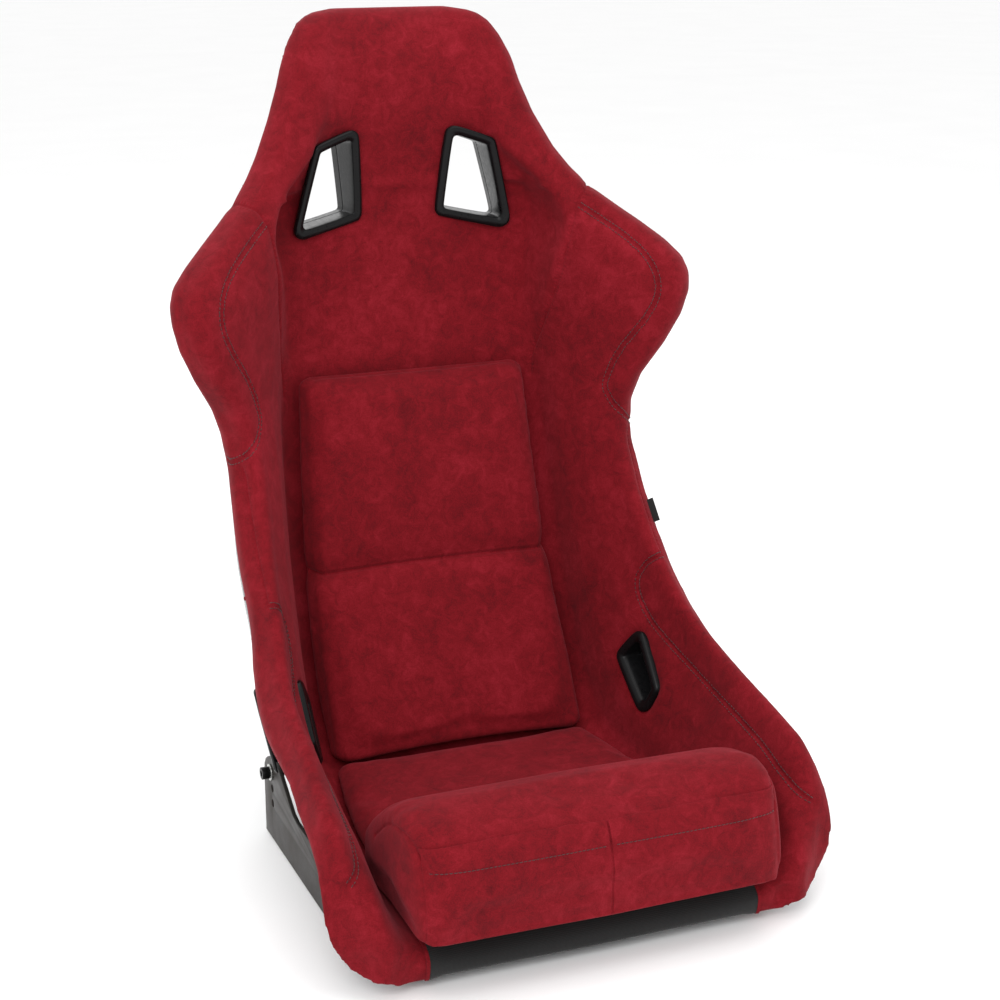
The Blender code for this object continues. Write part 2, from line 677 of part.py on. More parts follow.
# Upper edge of the plate, front to rear (y, z).
BRACKET_TOP = [(-.180, .048), (-.176, .056), (-.168, .060), (-.012, .060), (.002, .063), (.040, .087),
               (.048, .092),
               (.058, .0945), (.078, .0945), (.089, .092), (.098, .086), (.1035, .078), (.105, .070)]
REAR_BOLT = (.079, .078)
FRONT_BOLT = (-.150, .0375)
SPARE_HOLES = [(.0755, .061), (.0755, .044), (-.105, .040)]
FOOT_SLOTS = [-.136, -.038, .060]      # y of the foot's slots
FOOT_SLOT_LENGTH = .022
FOOT_SLOT_SHARE = .56    # of the foot's width, in from the plate's outer face
SLOT_STEPS = 10
BEND = .006
SEGMENTS = 12


def disc(centre, radius, count=SEGMENTS, flats=0):
    """A ring in the YZ plane round centre; flats gives a polygon's outline instead of a circle's."""
    ring = []
    for k in range(count):
        angle = 2 * math.pi * k / count
        reach = radius
        if flats:
            third = math.pi / flats
            reach = radius / math.cos((angle + third) % (2 * third) - third)
        ring.append(Vector((centre[0], centre[1] + reach * math.cos(angle),
                            centre[2] + reach * math.sin(angle))))
    return ring


def turned(name, side, y, z, profile, look, closed=False, flats=None):
    """A piece turned about the X direction through (y, z). profile holds (x, radius), x positive outwards."""
    rings = []
    for i, (x, radius) in enumerate(profile):
        count_flats = 6 if flats and i in flats else 0
        rings.append(disc((side * x, y, z), radius, flats=count_flats))
    return finish(loft(rings, closed), name, look)


def slot_cutter(name, x, y, width, length, top):
    """A vertical cutter with round ends, long along Y."""
    rings = []
    for z in (-.01, top):
        ring = []
        for end, start in ((1, 0), (-1, 180)):
            for k in range(SLOT_STEPS + 1):
                angle = math.radians(start + 180 * k / SLOT_STEPS)
                ring.append(Vector((x + width / 2 * math.cos(angle),
                                    y + end * (length - width) / 2 + width / 2 * math.sin(angle), z)))
        rings.append(ring)
    return finish(loft(rings), name, cutter=True)


def make_bracket(tag, side, look):
    """One side bracket: an upright plate with its foot turned inwards."""
    rings = []
    for y, top in BRACKET_TOP:
        corner = [(PLATE_OUTER_X, BEND * .3), (PLATE_OUTER_X, top), (PLATE_INNER_X, top),
                  (PLATE_INNER_X, PLATE + BEND * .5), (PLATE_INNER_X - BEND * .5, PLATE),
                  (PLATE_OUTER_X - FOOT_WIDTH, PLATE), (PLATE_OUTER_X - FOOT_WIDTH, 0),
                  (PLATE_OUTER_X - BEND * .3, 0)]
        rings.append([Vector((side * x, y, z)) for x, z in corner])
    bracket = finish(loft(rings), "side_bracket_" + tag, look)
    for i, (y, z) in enumerate([REAR_BOLT, FRONT_BOLT] + SPARE_HOLES):
        ends = [disc((side * x, y, z), HOLE_D / 2) for x in (PLATE_INNER_X - .02, PLATE_OUTER_X + .02)]
        cut(bracket, finish(loft(ends), f"bracket_hole_{tag}_{i}", cutter=True))
    for i, y in enumerate(FOOT_SLOTS):
        middle = side * (PLATE_OUTER_X - FOOT_WIDTH * FOOT_SLOT_SHARE)
        cut(bracket, slot_cutter(f"foot_slot_{tag}_{i}", middle, y, HOLE_D, FOOT_SLOT_LENGTH, .02))
    return bracket


def reach_of(tree, side, y, z, radius, from_outside):
    """Largest and smallest |x| of a wall over a disc of this radius."""
    found = []
    for r in (0, radius * .6, radius):
        for k in range(8):
            angle = math.pi * k / 4
            start = Vector((side * (.5 if from_outside else 0), y + r * math.cos(angle),
                            z + r * math.sin(angle)))
            found.append(abs(hit(tree, start, (-side if from_outside else side, 0, 0)).x))
    return max(found), min(found)


def make_fasteners(shell, cover, steel, zinc, black):
    """At each bolt: socket screw, washer, spacer bush, and a threaded insert behind the shell."""
    named = {obj.name: obj for obj in cover}
    tree = tree_of([shell])
    clear = .0004
    for side, tag in ((1, "right"), (-1, "left")):
        for place_name, (y, z) in (("rear", REAR_BOLT), ("front", FRONT_BOLT)):
            name = place_name + "_" + tag
            outer_high, _ = reach_of(tree, side, y, z, .0085, True)
            _, inner_low = reach_of(tree, side, y, z, .013, False)
            insert_out = inner_low - clear
            insert_in = insert_out - INSERT_LENGTH
            seat = PLATE_OUTER_X + clear
            top = seat + WASHER_T + clear
            shank = BOLT_D / 2
            head = HEAD_D / 2
            turned("bolt_" + name, side, y, z,
                   [(insert_in + .001, shank - .0008), (insert_in + .002, shank), (top, shank),
                    (top, head - .0004),
                    (top + .0006, head), (top + HEAD_L - .0008, head), (top + HEAD_L, head - .0008),
                    (top + HEAD_L, .0036), (top + HEAD_L - .004, .0030)], steel, flats={7, 8})
            turned("washer_" + name, side, y, z,
                   [(seat, shank + .0004), (seat, WASHER_D / 2), (seat + WASHER_T, WASHER_D / 2),
                    (seat + WASHER_T, shank + .0004)], zinc, closed=True)
            bush_out, bush_in = PLATE_INNER_X - clear, outer_high + clear
            if bush_out - bush_in > .0012:
                turned("spacer_bush_" + name, side, y, z,
                       [(bush_in, shank + .0006), (bush_in, .008), (bush_out, .008),
                        (bush_out, shank + .0006)],
                       zinc, closed=True)
            turned("threaded_insert_" + name, side, y, z,
                   [(insert_in, shank + .0005), (insert_in, .0075), (insert_out - .002, .0075),
                    (insert_out - .002, INSERT_FLANGE_R), (insert_out, INSERT_FLANGE_R),
                    (insert_out, shank + .0005)], zinc, closed=True)
            hole = finish(loft([disc((side * x, y, z), HOLE_D / 2) for x in (.15, .26)]),
                          "shell_hole_" + name,
                          cutter=True)
            cut(shell, hole)
            pocket = finish(loft([disc((side * x, y, z), .0135) for x in (insert_in - .0015, .245)]),
                            "insert_pocket_" + name, cutter=True)
            for target in ("side_panel_" + tag, "hip_band_" + tag, "base_liner", "back_liner"):
                cut(named[target], pocket)


# ---------------------------------------------------------------- hook-and-loop strips and the woven tag

# Side view of each pair: the lining under it at both ends (y, z), lift of the hook strip off the lining,
# thickness of the hook strip, clearance, thickness of the loop strip, half-width.
STRIPS = {"back": ((.2135, .29), (.2230, .33), .0006, .0028, .0004, .0029, .060),
          "base": ((-.050, .0450), (-.085, .0450), .0004, .0020, .0004, .0015, .060),
          "thigh": ((-.155, .0450), (-.190, .0448), .0004, .0020, .0004, .0020, .060)}


def strip(name, a, b, lift, thickness, half, look):
    """A flat strip across the seat along the side view's line from a to b, lifted off it and thickened."""
    a, b = Vector((0, *a)), Vector((0, *b))
    along = (b - a).normalized()
    normal = Vector((0, -along.z, along.y))
    if normal.z < 0:
        normal = -normal
    rings = []
    for x in (-half, half):
        shift = Vector((x, 0, 0))
        rings.append([p + shift + normal * h for p, h in ((a, lift), (b, lift), (b, lift + thickness),
                                                          (a, lift + thickness))])
    return finish(loft(rings), name, look)


def make_strips(look):
    """The cushions are held by hook strips on the lining and loop strips on their undersides."""
    for name, (a, b, lift, hook, clearance, loop, half) in STRIPS.items():
        strip(name + "_hook_strip", a, b, lift, hook, half, look)
        strip(name + "_loop_strip", a, b, lift + hook + clearance, loop, half, look)


def make_tag(look):
    """A small folded tag sewn into the right-hand rim."""
    t, u = 13.35, 5.6
    foot, ahead = place(t, u), place(t + .25, u)
    here, normal = GRID[neighbours(GRID_T, t)[0], neighbours(GRID_U, u)[0]]
    along = (ahead - foot).normalized()
    out = (normal - along * normal.dot(along)).normalized()
    across = along.cross(out)
    rings = []
    for lift in (.0012, .0085):
        base = foot + out * lift
        rings.append([base + along * (.013 * a) + across * (.0006 * b) for a,
                      b in ((-1, -1), (1, -1), (1, 1), (-1, 1))])
    return finish(loft(rings), "woven_tag", look)


def main():
    for old in list(bpy.data.objects):
        bpy.data.objects.remove(old, do_unlink=True)
    collection(COLLECTION)
    collection(CUTTERS, hidden=True)
    suede = material("burgundy_suede", (.30, .02, .03), .9)
    black_cloth = material("black_cloth", (.012, .012, .012), .9)
    gelcoat = material("flake_gelcoat", (.03, .03, .035), .25)
    bezel_plastic = material("black_abs", (.012, .012, .013), .3)
    powder_coat = material("black_powder_coat", (.02, .018, .017), .5, .2)
    black_oxide = material("black_oxide_steel", (.03, .03, .03), .35, .9)
    zinc = material("zinc_plated_steel", (.6, .6, .6), .3, 1)
    shell = make_shell(gelcoat)
    cover = make_cover(suede, black_cloth)
    make_back_cushion(suede)
    make_base_cushion(suede)
    make_thigh_cushion(suede)
    make_pocket_panels(suede)
    make_slots(bezel_plastic, shell, cover)
    for side, tag in ((1, "right"), (-1, "left")):
        make_bracket(tag, side, powder_coat)
    make_fasteners(shell, cover, black_oxide, zinc, bezel_plastic)
    make_strips(black_cloth)
    make_tag(black_cloth)


main()
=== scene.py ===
"""The looks of a fixed-back racing seat: sewn micro-suede over a glass-fibre bucket, three loose cushions,
harness bezels and steel side brackets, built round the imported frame. Metres, +Z up, the seat faces -Y."""

import math

import bmesh
import bpy
import numpy as np
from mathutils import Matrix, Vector
from mathutils.bvhtree import BVHTree
from mathutils.kdtree import KDTree


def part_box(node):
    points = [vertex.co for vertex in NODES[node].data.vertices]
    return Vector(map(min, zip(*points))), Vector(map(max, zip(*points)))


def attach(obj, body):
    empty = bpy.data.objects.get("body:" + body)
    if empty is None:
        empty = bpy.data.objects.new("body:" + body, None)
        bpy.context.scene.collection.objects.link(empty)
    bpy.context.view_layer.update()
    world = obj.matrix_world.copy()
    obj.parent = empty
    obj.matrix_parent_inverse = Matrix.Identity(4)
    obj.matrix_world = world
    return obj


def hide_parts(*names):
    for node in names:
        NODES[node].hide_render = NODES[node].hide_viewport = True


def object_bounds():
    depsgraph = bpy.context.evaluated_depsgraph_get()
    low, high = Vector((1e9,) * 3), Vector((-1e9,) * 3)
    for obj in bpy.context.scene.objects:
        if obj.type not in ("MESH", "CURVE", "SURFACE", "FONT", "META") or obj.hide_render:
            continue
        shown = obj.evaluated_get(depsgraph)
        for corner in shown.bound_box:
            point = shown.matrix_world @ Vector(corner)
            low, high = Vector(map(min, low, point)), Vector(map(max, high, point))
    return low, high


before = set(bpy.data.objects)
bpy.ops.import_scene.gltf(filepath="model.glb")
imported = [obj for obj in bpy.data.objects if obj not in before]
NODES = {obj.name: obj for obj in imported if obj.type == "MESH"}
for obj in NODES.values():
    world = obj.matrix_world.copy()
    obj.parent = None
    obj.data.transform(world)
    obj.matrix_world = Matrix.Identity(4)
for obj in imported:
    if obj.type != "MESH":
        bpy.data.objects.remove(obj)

bl_info = {
    "name": "Racing Seat Looks",
    "version": (1, 0, 0),
    "blender": (4, 5, 0),
    "location": "View3D > Sidebar > Seat",
    "description": "Upholstery, shell, bezels and hardware of a fixed-back racing seat",
    "category": "Object",
}

SCENE = bpy.context.scene
CAD_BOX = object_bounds()
SIDES = (("right", 1), ("left", -1))
MM = 0.001


# ------------------------------------------------------------------ sizes and colours a user would change

def linear(hex_colour):
    """sRGB hex to linear RGBA."""
    channels = [int(hex_colour[i:i + 2], 16) / 255 for i in (1, 3, 5)]
    return tuple(c / 12.92 if c <= .04045 else ((c + .055) / 1.055) ** 2.4 for c in channels) + (1.0,)


def colour(name, description, hex_colour):
    return bpy.props.FloatVectorProperty(name=name, description=description, subtype="COLOR", size=4,
                                         min=0, max=1, default=linear(hex_colour))


def length(name, description, default, high=.05):
    return bpy.props.FloatProperty(name=name, description=description, default=default, min=0, max=high,
                                   unit="LENGTH", subtype="DISTANCE")


class SeatSizes(bpy.types.PropertyGroup):
    voxel: length("Voxel", "Grain of the remeshed upholstery", 3.4 * MM)
    cushion_voxel: length("Cushion voxel", "Grain of the remeshed cushions", 5 * MM)
    crease: length("Seam crease", "Depth of the crease at a sewn seam", 1.3 * MM)
    valley: length("Seam valley", "Depth the foam is drawn in beside a seam", 1.5 * MM)
    stitch_pitch: length("Stitch pitch", "From one stitch to the next", 4.4 * MM)
    stitch_row: length("Stitch row", "From a seam to its row of topstitching", 2.9 * MM)
    thread: length("Thread", "Thickness of the sewing thread", .9 * MM)
    swell: length("Swell", "Most that a cushion may swell", 5 * MM)
    pressure: bpy.props.FloatProperty(name="Pressure", description="Pressure in a cushion's cover", default=4,
                                      min=0)


class SeatColours(bpy.types.PropertyGroup):
    suede: colour("Suede", "Micro-suede with its nap at rest", "#6D0A14")
    suede_raised: colour("Suede, raised nap", "Micro-suede brushed against its lie", "#841723")
    suede_laid: colour("Suede, laid nap", "Micro-suede brushed flat", "#4E060D")
    thread: colour("Thread", "Sewing thread", "#3C0A12")
    cloth: colour("Cloth", "Black woven cloth", "#141414")
    moulding: colour("Bezels", "Gloss moulded plastic", "#0D0D0E")
    shell: colour("Shell", "Gelcoat under its flake", "#111216")
    flake: colour("Flake", "Pearl flake in the gelcoat", "#7A7E90")
    powder: colour("Brackets", "Powder coat", "#1C1714")
    zinc: colour("Zinc", "Bright zinc plate", "#C9CAC6")
    oxide: colour("Bolts", "Black oxide", "#1A1A1A")


def sizes():
    return SCENE.seat_sizes


def colours():
    return SCENE.seat_colours


# ------------------------------------------------------------------ materials

def node(tree, kind, links=(), **settings):
    """Adds a node. settings are its properties, or its sockets' values by index or name in sockets={}; links are
    (socket of this node, another node's output)."""
    made = tree.nodes.new(kind)
    for socket, value in settings.pop("sockets", {}).items():
        made.inputs[socket].default_value = value
    for name, value in settings.items():
        setattr(made, name, value)
    for socket, source in links:
        tree.links.new(source, made.inputs[socket])
    return made


def ramp(tree, source, stops):
    """A colour ramp on source; stops are (place, RGBA)."""
    made = node(tree, "ShaderNodeValToRGB", links=[("Fac", source)])
    elements = made.color_ramp.elements
    while len(elements) < len(stops):
        elements.new(.5)
    for element, (place, rgba) in zip(elements, stops):
        element.position = place
        element.color = rgba
    return made


def grey(value):
    return (value, value, value, 1)


def new_material(name, **settings):
    """A material and its tree, shader and object coordinates; settings are the shader's constant sockets."""
    made = bpy.data.materials.new(name)
    made.use_nodes = True
    tree = made.node_tree
    shader = tree.nodes["Principled BSDF"]
    for socket, value in settings.items():
        shader.inputs[socket].default_value = value
    place = node(tree, "ShaderNodeTexCoord").outputs["Object"]
    return made, tree, shader, place


def bump(tree, shader, height, strength, distance, under=None):
    made = node(tree, "ShaderNodeBump", links=[("Height", height)],
                sockets={"Strength": strength, "Distance": distance})
    if under is not None:
        tree.links.new(under.outputs["Normal"], made.inputs["Normal"])
    tree.links.new(made.outputs["Normal"], shader.inputs["Normal"])
    return made


def brushed_micro_suede():
    """Polyester micro-suede: brushed microfibre with a short nap. The nap lies in patches, so the red is cloudy
    with hand-sized strokes, fingertip blotches and a fine speckle, and it glows a little at grazing angles."""
    c = colours()
    made, tree, shader, place = new_material("brushed_micro_suede", **{
        "Roughness": .92, "IOR": 1.46, "Specular IOR Level": .18, "Sheen Weight": .2, "Sheen Roughness": .5,
        "Sheen Tint": linear("#C8606C")})
    strokes = node(tree, "ShaderNodeTexNoise", links=[("Vector", place)],
                   sockets={"Scale": 11.0, "Detail": 7.0, "Roughness": .66, "Distortion": .6})
    blotches = node(tree, "ShaderNodeTexNoise", links=[("Vector", place)],
                    sockets={"Scale": 70.0, "Detail": 7.0, "Roughness": .75, "Distortion": .8})
    # Nap fibres are 0.1 mm; drawn at 1 mm, the finest that shows.
    fibres = node(tree, "ShaderNodeTexNoise", links=[("Vector", place)],
                  sockets={"Scale": 900.0, "Detail": 2.0, "Roughness": .6})
    both = node(tree, "ShaderNodeMix", data_type="FLOAT", sockets={0: .55},
                links=[(2, strokes.outputs["Fac"]), (3, blotches.outputs["Fac"])])
    lie = node(tree, "ShaderNodeMix", data_type="FLOAT", sockets={0: .22},
               links=[(2, both.outputs[0]), (3, fibres.outputs["Fac"])])
    tint = ramp(tree, lie.outputs[0],
                [(.36, tuple(c.suede_laid)), (.5, tuple(c.suede)), (.64, tuple(c.suede_raised))])
    tree.links.new(tint.outputs["Color"], shader.inputs["Base Color"])
    under = bump(tree, shader, blotches.outputs["Fac"], .25, 1.2 * MM)
    bump(tree, shader, fibres.outputs["Fac"], .35, .35 * MM, under)
    return made


def bonded_thread():
    """Bonded polyester thread, a shade darker than the cover: a twisted, faintly shiny cord."""
    made, tree, shader, place = new_material("bonded_polyester_thread", **{
        "Roughness": .55, "Specular IOR Level": .4, "Sheen Weight": .2})
    twist = node(tree, "ShaderNodeTexNoise", links=[("Vector", place)], sockets={"Scale": 1400.0, "Detail": 1.0})
    dark = tuple(v * .6 for v in colours().thread[:3]) + (1,)
    tint = ramp(tree, twist.outputs["Fac"], [(.35, dark), (.65, tuple(colours().thread))])
    tree.links.new(tint.outputs["Color"], shader.inputs["Base Color"])
    return made


def woven_cloth():
    """Black polyester plain weave: matte, with a fine over-and-under grid of threads."""
    made, tree, shader, place = new_material("woven_polyester_cloth", **{
        "Roughness": .9, "Specular IOR Level": .25, "Sheen Weight": .15, "Sheen Roughness": .5})
    # Threads are 0.4 mm apart; drawn 1.2 mm apart so that they show.
    waves = [node(tree, "ShaderNodeTexWave", wave_type="BANDS", bands_direction=axis, links=[("Vector", place)],
                  sockets={"Scale": 260.0, "Distortion": .6, "Detail": 1.0}) for axis in ("X", "Z")]
    weave = node(tree, "ShaderNodeMath", operation="MULTIPLY",
                 links=[(0, waves[0].outputs["Fac"]), (1, waves[1].outputs["Fac"])])
    light = tuple(v * 2.4 for v in colours().cloth[:3]) + (1,)
    tint = ramp(tree, weave.outputs[0], [(.1, tuple(colours().cloth)), (.9, light)])
    tree.links.new(tint.outputs["Color"], shader.inputs["Base Color"])
    bump(tree, shader, weave.outputs[0], .5, .3 * MM)
    return made


def moulded_abs():
    """Injection-moulded ABS, polished tool: deep gloss black, with a trace of orange peel."""
    made, tree, shader, place = new_material("moulded_gloss_abs", **{
        "IOR": 1.45, "Specular IOR Level": .17})
    peel = node(tree, "ShaderNodeTexNoise", links=[("Vector", place)], sockets={"Scale": 240.0, "Detail": 3.0})
    shine = ramp(tree, peel.outputs["Fac"], [(.3, grey(.26)), (.7, grey(.38))])
    tree.links.new(shine.outputs["Color"], shader.inputs["Roughness"])
    shade = ramp(tree, peel.outputs["Fac"], [(.3, tuple(colours().moulding)), (.8, linear("#101011"))])
    tree.links.new(shade.outputs["Color"], shader.inputs["Base Color"])
    bump(tree, shader, peel.outputs["Fac"], .08, .2 * MM)
    return made


def flake_gelcoat():
    """Sprayed gelcoat over glass fibre, with pearl flake: nearly black and wet-looking, with 1 mm specks."""
    c = colours()
    made, tree, shader, place = new_material("pearl_flake_gelcoat", **{
        "IOR": 1.5, "Specular IOR Level": .4, "Coat Weight": .6, "Coat Roughness": .05, "Coat IOR": 1.5})
    flakes = node(tree, "ShaderNodeTexVoronoi", feature="F1", links=[("Vector", place)],
                  sockets={"Scale": 1100.0, "Randomness": 1.0})
    value = node(tree, "ShaderNodeSeparateColor", links=[("Color", flakes.outputs["Color"])])
    chosen = ramp(tree, value.outputs["Red"], [(.86, grey(0)), (.97, grey(.6))])
    clouds = node(tree, "ShaderNodeTexNoise", links=[("Vector", place)], sockets={"Scale": 14.0, "Detail": 4.0})
    ground = ramp(tree, clouds.outputs["Fac"], [(.3, tuple(c.shell)), (.7, linear("#1A1B20"))])
    mix = node(tree, "ShaderNodeMix", data_type="RGBA", sockets={7: tuple(c.flake)},
               links=[(0, chosen.outputs["Color"]), (6, ground.outputs["Color"])])
    tree.links.new(mix.outputs[2], shader.inputs["Base Color"])
    tree.links.new(chosen.outputs["Color"], shader.inputs["Metallic"])
    shine = ramp(tree, value.outputs["Green"], [(0, grey(.22)), (1, grey(.45))])
    tree.links.new(shine.outputs["Color"], shader.inputs["Roughness"])
    tilt = node(tree, "ShaderNodeTexNoise", links=[("Vector", place)], sockets={"Scale": 30.0, "Detail": 2.0})
    bump(tree, shader, tilt.outputs["Fac"], .05, 1 * MM)
    return made


def powder_coat():
    """Polyester powder coat baked on steel: brown-black, semi-matte and pebbled at about 0.8 mm, with cloudy
    lighter patches."""
    made, tree, shader, place = new_material("textured_powder_coat", **{"IOR": 1.5, "Specular IOR Level": .45})
    pebble = node(tree, "ShaderNodeTexNoise", links=[("Vector", place)],
                  sockets={"Scale": 1250.0, "Detail": 2.0})
    wear = node(tree, "ShaderNodeTexNoise", links=[("Vector", place)], sockets={"Scale": 35.0, "Detail": 5.0})
    shade = ramp(tree, wear.outputs["Fac"], [(.35, tuple(colours().powder)), (.75, linear("#2A241F"))])
    shine = ramp(tree, wear.outputs["Fac"], [(.3, grey(.42)), (.75, grey(.58))])
    tree.links.new(shade.outputs["Color"], shader.inputs["Base Color"])
    tree.links.new(shine.outputs["Color"], shader.inputs["Roughness"])
    bump(tree, shader, pebble.outputs["Fac"], .35, .25 * MM)
    return made


def metal_finish(name, base, shade_to, rough, scale):
    """A plated or blackened steel: its shade and shine wander a little over the surface."""
    made, tree, shader, place = new_material(name, Metallic=1.0)
    spots = node(tree, "ShaderNodeTexNoise", links=[("Vector", place)], sockets={"Scale": scale, "Detail": 4.0})
    shade = ramp(tree, spots.outputs["Fac"], [(.3, base), (.75, shade_to)])
    shine = ramp(tree, spots.outputs["Fac"], [(.3, grey(rough)), (.75, grey(rough + .14))])
    tree.links.new(shade.outputs["Color"], shader.inputs["Base Color"])
    tree.links.new(shine.outputs["Color"], shader.inputs["Roughness"])
    bump(tree, shader, spots.outputs["Fac"], .06, .1 * MM)
    return made


def zinc_plate():
    """Bright zinc plate: silver, slightly cloudy."""
    return metal_finish("bright_zinc_plate", tuple(colours().zinc), linear("#A9ABA8"), .2, 420.0)


def black_oxide():
    """Oil-dipped black oxide on steel: dark, soft shine."""
    return metal_finish("black_oxide_steel", tuple(colours().oxide), linear("#2B2B2C"), .32, 500.0)


MADE = {}


def look(maker):
    """The material made by maker, made once."""
    if maker.__name__ not in MADE:
        MADE[maker.__name__] = maker()
    return MADE[maker.__name__]


# ------------------------------------------------------------------ mesh tools

def only(*objects):
    """Selects these objects and nothing else; the first becomes active."""
    bpy.ops.object.select_all(action="DESELECT")
    for obj in objects:
        obj.select_set(True)
    bpy.context.view_layer.objects.active = objects[0]


def modify(obj, kind, **settings):
    """Adds a modifier and applies it."""
    only(obj)
    made = obj.modifiers.new(kind.lower(), kind)
    for name, value in settings.items():
        setattr(made, name, value)
    bpy.ops.object.modifier_apply(modifier=made.name)


def object_from(build, name):
    mesh = bpy.data.meshes.new(name)
    build.to_mesh(mesh)
    build.free()
    obj = bpy.data.objects.new(name, mesh)
    SCENE.collection.objects.link(obj)
    return obj


def cad_copy(name, *nodes):
    """A new object from copies of CAD nodes, with their loose triangles merged."""
    build = bmesh.new()
    for n in nodes:
        build.from_mesh(NODES[n].data)
    bmesh.ops.remove_doubles(build, verts=build.verts, dist=.01 * MM)
    obj = object_from(build, name)
    obj.data.materials.clear()
    return obj


def points_of(obj):
    co = np.empty(len(obj.data.vertices) * 3, np.float32)
    obj.data.vertices.foreach_get("co", co)
    return co.reshape(-1, 3).astype(float)


def put_points(obj, co):
    obj.data.vertices.foreach_set("co", co.astype(np.float32).ravel())
    obj.data.update()


def normals_of(obj):
    out = np.empty(len(obj.data.vertices) * 3, np.float32)
    obj.data.vertices.foreach_get("normal", out)
    return out.reshape(-1, 3).astype(float)


def edges_of(obj):
    out = np.empty(len(obj.data.edges) * 2, np.int32)
    obj.data.edges.foreach_get("vertices", out)
    return out.reshape(-1, 2)


def fair(obj, rounds, factor=.55, back=.57, share=None):
    """Smooths the mesh without shrinking it: each round draws points in, then pushes them back out."""
    co, edges = points_of(obj), edges_of(obj)
    a, b, count = edges[:, 0], edges[:, 1], len(co)
    degree = np.maximum(np.bincount(a, minlength=count) + np.bincount(b, minlength=count), 1)[:, None]
    weight = 1.0 if share is None else share[:, None]
    for _ in range(rounds):
        for step in (factor, -back):
            total = np.stack([np.bincount(a, co[b, k], count) + np.bincount(b, co[a, k], count)
                              for k in range(3)], 1)
            co += step * weight * (total / degree - co)
    put_points(obj, co)


def largest_patch(edges, wanted):
    """Which of the wanted points lie in their largest connected patch."""
    label = np.arange(len(wanted))
    edges = edges[wanted[edges[:, 0]] & wanted[edges[:, 1]]]
    while True:
        low = np.minimum(label[edges[:, 0]], label[edges[:, 1]])
        before = label.copy()
        np.minimum.at(label, edges[:, 0], low)
        np.minimum.at(label, edges[:, 1], low)
        label = label[label]
        if (label == before).all():
            break
    names, count = np.unique(label[wanted], return_counts=True)
    return wanted & (label == names[count.argmax()])


def largest_island(obj):
    """Deletes every loose part but the largest."""
    keep = largest_patch(edges_of(obj), np.ones(len(obj.data.vertices), bool))
    build = bmesh.new()
    build.from_mesh(obj.data)
    build.verts.ensure_lookup_table()
    bmesh.ops.delete(build, geom=[v for v in build.verts if not keep[v.index]], context="VERTS")
    build.to_mesh(obj.data)
    build.free()


def tree_from(*nodes):
    vertices, faces = [], []
    for n in nodes:
        start = len(vertices)
        mesh = NODES[n].data
        vertices += [v.co.copy() for v in mesh.vertices]
        faces += [[start + i for i in p.vertices] for p in mesh.polygons]
    return BVHTree.FromPolygons(vertices, faces)


def distances(tree, co):
    return np.array([tree.find_nearest(Vector(p))[3] for p in co])


def mesh_tree(obj):
    return BVHTree.FromPolygons([v.co for v in obj.data.vertices], [p.vertices for p in obj.data.polygons])


def smooth_look(obj, material, angle=None):
    obj.data.materials.clear()
    obj.data.materials.append(material)
    only(obj)
    if angle is None:
        bpy.ops.object.shade_smooth()
    else:
        bpy.ops.object.shade_smooth_by_angle(angle=math.radians(angle))


def flipped(points):
    return [(-x, y, z) for x, y, z in points]


# ------------------------------------------------------------------ seams

# Right-hand seams as points on the cover; the left-hand ones mirror them.
SHOULDER_SEAM = [(.202, .222, .652), (.188, .190, .650), (.173, .178, .637), (.163, .178, .600),
                 (.155, .190, .552), (.147, .212, .506), (.141, .232, .462), (.140, .232, .440)]
WING_SEAM = [(.173, .178, .637), (.194, .159, .621), (.213, .142, .605), (.229, .126, .587), (.238, .116, .567),
             (.239, .112, .547), (.232, .117, .525), (.219, .126, .503), (.206, .137, .481), (.198, .144, .459),
             (.194, .147, .440), (.199, .139, .424), (.213, .132, .409), (.231, .145, .398), (.236, .165, .396)]
HIP_SEAM = [(.2245, .056, .271), (.213, .052, .270), (.203, .058, .262), (.197, .064, .246), (.196, .060, .231),
            (.198, .047, .215), (.203, .026, .199), (.212, -.015, .180), (.220, -.061, .164),
            (.226, -.115, .150), (.230, -.165, .136), (.233, -.198, .122), (.240, -.222, .110),
            (.249, -.232, .104)]
EDGE_SEAM = [(.219, .136, .393), (.2185, .118, .358), (.220, .096, .323), (.2245, .058, .273)]
PLAIN_SEAMS = {"shoulder_seam": SHOULDER_SEAM, "edge_seam": EDGE_SEAM}
TOPSTITCHED_SEAMS = {"wing_seam": WING_SEAM, "hip_seam": HIP_SEAM}
SEAM_STEP = 1 * MM
LAID = {}                 # the seams as they lie on a finished piece: name -> (points, normals, tangents)


def curve_through(points, step=SEAM_STEP):
    """Points about step apart along a centripetal curve through the given ones."""
    p = np.array([points[0]] + list(points) + [points[-1]], float)
    p[0], p[-1] = 2 * p[1] - p[2], 2 * p[-2] - p[-3]
    out = []
    for i in range(1, len(p) - 2):
        q = p[i - 1:i + 3]
        k = np.concatenate([[0], np.cumsum(np.maximum(np.linalg.norm(np.diff(q, axis=0), axis=1), 1e-6) ** .5)])
        count = max(2, int(np.linalg.norm(q[2] - q[1]) / step))
        for s in np.linspace(k[1], k[2], count, endpoint=False):
            a = [(q[j] * (k[j + 1] - s) + q[j + 1] * (s - k[j])) / (k[j + 1] - k[j]) for j in range(3)]
            b = [(a[j] * (k[j + 2] - s) + a[j + 1] * (s - k[j])) / (k[j + 2] - k[j]) for j in range(2)]
            out.append((b[0] * (k[2] - s) + b[1] * (s - k[1])) / (k[2] - k[1]))
    out.append(p[-2])
    return np.array(out)


